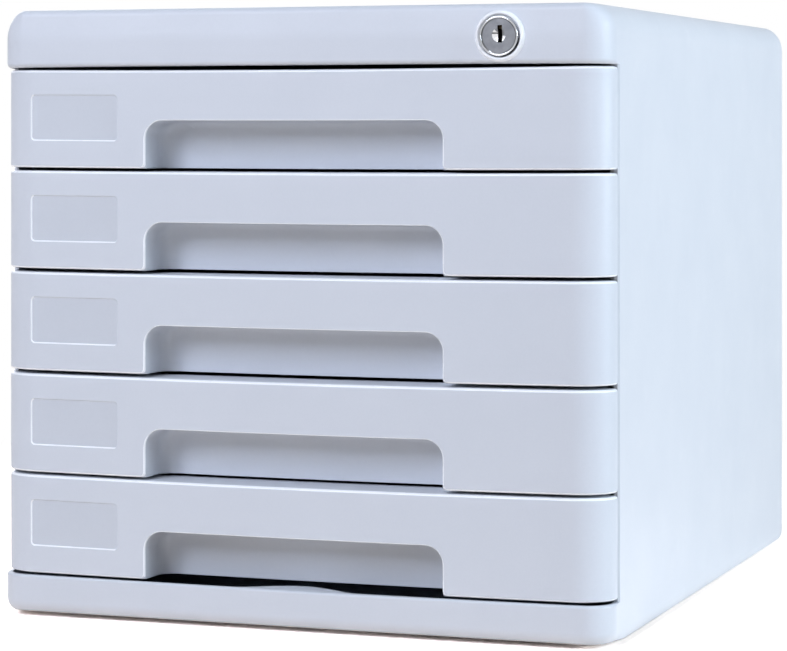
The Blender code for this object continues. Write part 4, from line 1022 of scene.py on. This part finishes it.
head_profile += [(HEAD_RADIUS, HEAD_THICKNESS), (BARREL_RADIUS, HEAD_THICKNESS),
                 (BARREL_RADIUS, barrel_high.y - HEAD_FACE),
                 (PLUG_RADIUS + FIT, barrel_high.y - HEAD_FACE),
                 (PLUG_RADIUS + FIT, RECESS_DEPTH), (RECESS_RADIUS, RECESS_DEPTH)]
barrel_work = []
for side in (-1, 1):
    ends = sorted((LOCK_X + side * BARREL_FLAT, LOCK_X + side * (BARREL_RADIUS + OVERRUN)))
    barrel_work.append(("cut", box_form((ends[0], HEAD_FACE + HEAD_THICKNESS,
                                         LOCK_Z - BARREL_RADIUS),
                                        (ends[1], barrel_high.y + OVERRUN,
                                         LOCK_Z + BARREL_RADIUS))))
barrel = worked(turned_form(head_profile, (LOCK_X, LOCK_Z), HEAD_FACE), *barrel_work)
show("lock_body", barrel, "casing", "chrome", "lock_barrel", chrome)
dressed(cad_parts["lock_nut"], zinc_plate)

# The plug: the turning core in turned steel, its face lined by the lathe, with the keyway and
# the bright spots beside it, which are key wear with painted glints. Five brass wafers sit behind
# it.
plug_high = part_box("lock_plug")[1]
PLUG_FACE = HEAD_FACE + 0.0008
PLUG_HEAD_RADIUS = 0.0079
PLUG_HEAD_THICKNESS = 0.0005
PLUG_HEAD_EDGE = 0.0002
PLUG_TAIL = 0.0018
TAIL_HALF = 0.003
TAIL_LENGTH = 0.004
KEYWAY_WIDTH = 0.0024
KEYWAY_HEIGHT = 0.0095
KEYWAY_DEPTH = 0.0162
SLOT_WIDTH = 0.0021
SLOT_ASIDE = 0.0004
SLOT_HEIGHT = 0.0078
SLOT_RISE = 0.0009
SLOT_DEPTH = 0.0012
DIMPLE_RADIUS = 0.0032
DIMPLE_DEPTH = 0.0008
DIMPLE_RUN = 0.0016
DIMPLE_RISE = 0.0004
NOTCH_LOW = 0.0009
NOTCH_HIGH = 0.0015
GLINT_AND_WEAR_TOP = 0.0023
STEEL_GRAIN_SCALE = 1800.0
LATHE_SCALE = 640.0
LATHE_WANDER = 0.6
LATHE_STRENGTH = 0.5
LATHE_DEPTH = 0.00002


def lock_block(left, right, low, high, front, rear):
    """A block placed from the lock's axis and the plug's face."""
    return box_form((LOCK_X + left, PLUG_FACE + front, LOCK_Z + low),
                    (LOCK_X + right, PLUG_FACE + rear, LOCK_Z + high))


def turned_steel(name, bright, dull, smoothest, roughest):
    """Steel with fine lathe lines in rings about the lock's axis."""
    material = plated_metal(name, bright, dull, smoothest, roughest, STEEL_GRAIN_SCALE)
    nodes, links = material.node_tree.nodes, material.node_tree.links
    centred = nodes.new("ShaderNodeMapping")
    centred.inputs["Location"].default_value = (-LOCK_X, 0.0, -LOCK_Z)
    links.new(nodes.new("ShaderNodeTexCoord").outputs["Object"], centred.inputs["Vector"])
    lines = nodes.new("ShaderNodeTexWave")
    lines.wave_type = "RINGS"
    lines.rings_direction = "Y"
    lines.inputs["Scale"].default_value = LATHE_SCALE
    lines.inputs["Distortion"].default_value = LATHE_WANDER
    lines.inputs["Detail"].default_value = 2.0
    links.new(centred.outputs["Vector"], lines.inputs["Vector"])
    surface = relief(nodes, links, lines.outputs["Fac"], LATHE_STRENGTH, LATHE_DEPTH)
    links.new(surface.outputs["Normal"], nodes["Principled BSDF"].inputs["Normal"])
    return material


plug_steel = turned_steel("turned_steel", (0.19, 0.192, 0.20), (0.135, 0.137, 0.145), 0.34, 0.42)
# Pale polished steel on the dimple faces beside the keyway: key wear with painted glints.
glint_and_wear_steel = plated_metal("glint_and_wear_steel", (0.80, 0.80, 0.81), (0.66, 0.66, 0.68), 0.14, 0.24,
                          STEEL_GRAIN_SCALE)
plug_length = plug_high.y - PLUG_FACE
plug_shoulder = plug_length - PLUG_TAIL
plug_profile = [(0.0, 0.0), (PLUG_HEAD_RADIUS - PLUG_HEAD_EDGE, 0.0),
                (PLUG_HEAD_RADIUS, PLUG_HEAD_EDGE), (PLUG_HEAD_RADIUS, PLUG_HEAD_THICKNESS),
                (PLUG_RADIUS, PLUG_HEAD_THICKNESS), (PLUG_RADIUS, plug_shoulder),
                (0.0, plug_shoulder)]
plug_work = [("join", lock_block(-TAIL_HALF, TAIL_HALF, -TAIL_HALF, TAIL_HALF,
                                 plug_length - TAIL_LENGTH, plug_length)),
             ("cut", turned_form([(0.0, DIMPLE_DEPTH), (DIMPLE_RADIUS - DIMPLE_RUN, DIMPLE_DEPTH),
                                  (DIMPLE_RADIUS, 0.0), (DIMPLE_RADIUS, -OVERRUN),
                                  (0.0, -OVERRUN)], (LOCK_X, LOCK_Z + DIMPLE_RISE), PLUG_FACE)),
             ("cut", lock_block(SLOT_ASIDE - SLOT_WIDTH / 2, SLOT_ASIDE + SLOT_WIDTH / 2,
                                SLOT_RISE - SLOT_HEIGHT / 2, SLOT_RISE + SLOT_HEIGHT / 2,
                                -OVERRUN, SLOT_DEPTH + OVERRUN)),
             ("cut", lock_block(-DIMPLE_RADIUS, 0.0, NOTCH_LOW, NOTCH_HIGH, -OVERRUN,
                                2 * DIMPLE_DEPTH)),
             ("cut", lock_block(-KEYWAY_WIDTH / 2, KEYWAY_WIDTH / 2, -KEYWAY_HEIGHT / 2,
                                KEYWAY_HEIGHT / 2, SLOT_DEPTH, KEYWAY_DEPTH))]
plug = worked(turned_form(plug_profile, (LOCK_X, LOCK_Z), PLUG_FACE), *plug_work)
plug_piece = show("lock_core_plug", plug, "lock_core", "satin_steel", "lock_plug", plug_steel,
                  glint_and_wear_steel)
# Dimple faces on the left, and below the axis on the right, get the pale steel as key wear with
# painted glints.
for face in plug_piece.data.polygons:
    middle = face.center
    away = math.hypot(middle.x - LOCK_X, middle.z - LOCK_Z - DIMPLE_RISE)
    behind = middle.y - PLUG_FACE
    glint_and_wear_spot = middle.z < LOCK_Z + (GLINT_AND_WEAR_TOP if middle.x < LOCK_X else 0.0)
    if glint_and_wear_spot and away < DIMPLE_RADIUS and MERGE < behind < DIMPLE_DEPTH + MERGE:
        face.material_index = 1
# Near-black brass on the wafers: painted shade deep in the keyway.
painted_shade_wafer_brass = plated_metal("painted_shade_brass", (0.14, 0.11, 0.07), (0.08, 0.065, 0.045), 0.4, 0.55,
                           1500.0)
for name in named("lock_wafer"):
    dressed(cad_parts[name], painted_shade_wafer_brass)

# The cam, its screw and the locking bar: zinc plated steel behind the lid. The cam is screwed
# to the plug's tail, and its pin moves the bar, whose teeth catch the trays.
for name in ("lock_cam", "cam_screw", "lock_bar"):
    dressed(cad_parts[name], zinc_plate)

# The studio: a white floor and backdrop, soft boxes in front, at the right, above and behind,
# and the camera where the photograph was taken from, level and shifted down.
CAMERA_PLACE = (0.4939, -1.4236, 0.2307)
CAMERA_TURN = math.radians(19.725)
CAMERA_LENS = 133.65
CAMERA_SHIFT = -0.2503
camera_data = bpy.data.cameras.new("camera")
camera_data.lens = CAMERA_LENS
camera_data.sensor_width = 36
camera_data.shift_y = CAMERA_SHIFT
camera = linked("camera", camera_data)
camera.location = CAMERA_PLACE
camera.rotation_euler = (math.pi / 2, 0, CAMERA_TURN)
bpy.context.scene.camera = camera
bpy.context.scene.view_settings.view_transform = "Standard"


def shown(nodes, links):
    """One where the camera, a reflection or a clear piece looks at the studio, else zero."""
    path = nodes.new("ShaderNodeLightPath")
    either = path.outputs["Is Camera Ray"]
    for kind in ("Is Glossy Ray", "Is Transmission Ray"):
        either = combined(nodes, links, "MAXIMUM", either, path.outputs[kind])
    return either


def mixed(nodes, links, share, first, second):
    """Two shaders mixed by a share."""
    mix = nodes.new("ShaderNodeMixShader")
    links.new(share, mix.inputs["Fac"])
    links.new(first, mix.inputs[1])
    links.new(second, mix.inputs[2])
    return mix.outputs["Shader"]


FLOOR_HALF = 6.0
PAPER_NEAR, PAPER_FAR = 0.3, 0.7
floor_mesh = bpy.data.meshes.new("studio_floor")
floor_mesh.from_pydata([(-FLOOR_HALF, -FLOOR_HALF, 0), (FLOOR_HALF, -FLOOR_HALF, 0),
                        (FLOOR_HALF, FLOOR_HALF, 0), (-FLOOR_HALF, FLOOR_HALF, 0)], [],
                       [(0, 1, 2, 3)])
studio_floor = linked("studio_floor", floor_mesh)
floor_paper, nodes, links, matt, coordinates = blank_material("floor_paper")
matt.inputs["Base Color"].default_value = (0.92, 0.80, 0.68, 1.0)
matt.inputs["Roughness"].default_value = 0.9
matt.inputs["Specular IOR Level"].default_value = 0.0
glow = nodes.new("ShaderNodeEmission")
glow.inputs["Color"].default_value = (1.0, 1.0, 1.0, 1.0)
glow.inputs["Strength"].default_value = 1.0
seen = shown(nodes, links)
lit_paper = nodes.new("ShaderNodeBsdfDiffuse")
lit_paper.inputs["Color"].default_value = (3.2, 2.8, 2.5, 1.0)
near = mixed(nodes, links, seen, matt.outputs["BSDF"], lit_paper.outputs["BSDF"])
reach = nodes.new("ShaderNodeVectorMath")
reach.operation = "LENGTH"
links.new(coordinates, reach.inputs[0])
far_share = combined(nodes, links, "MULTIPLY", seen,
                     spread(nodes, links, reach.outputs["Value"], 0.0, 1.0, PAPER_NEAR, PAPER_FAR))
paper = mixed(nodes, links, far_share, near, glow.outputs["Emission"])
links.new(paper, nodes["Material Output"].inputs["Surface"])
dressed(studio_floor, floor_paper)

studio = bpy.data.worlds.new("studio")
studio.use_nodes = True
bpy.context.scene.world = studio
nodes, links = studio.node_tree.nodes, studio.node_tree.links
ambient = nodes["Background"]
ambient.inputs["Color"].default_value = (1.0, 0.95, 0.89, 1.0)
ambient.inputs["Strength"].default_value = 0.06
backdrop = nodes.new("ShaderNodeBackground")
backdrop.inputs["Color"].default_value = (1.0, 1.0, 1.0, 1.0)
backdrop.inputs["Strength"].default_value = 1.0
links.new(mixed(nodes, links, shown(nodes, links), ambient.outputs["Background"],
                backdrop.outputs["Background"]), nodes["World Output"].inputs["Surface"])


def soft_box(name, place, aim, size, power, colour):
    """A square soft light aimed at a point, with its side and power."""
    light = bpy.data.lights.new(name, "AREA")
    light.shape = "SQUARE"
    light.size = size
    light.energy = power
    light.color = colour
    lamp = linked(name, light)
    lamp.location = place
    lamp.rotation_euler = (Vector(aim) - Vector(place)).to_track_quat("-Z", "Y").to_euler()


MIDDLE = (0.0, 0.0, 0.14)
soft_box("window_light", (-0.655, -2.015, 1.267), MIDDLE, 1.0, 36.4, (0.76, 0.83, 1.0))
soft_box("side_light", (2.323, -0.162, 0.721), MIDDLE, 0.9, 48.4, (0.71, 0.85, 1.0))
soft_box("high_light", (0.0, -0.821, 2.395), MIDDLE, 1.2, 9.4, (0.86, 0.93, 1.0))
soft_box("rear_light", (-1.5, 2.0, 1.1), MIDDLE, 1.0, 13.0, (0.90, 0.95, 1.0))
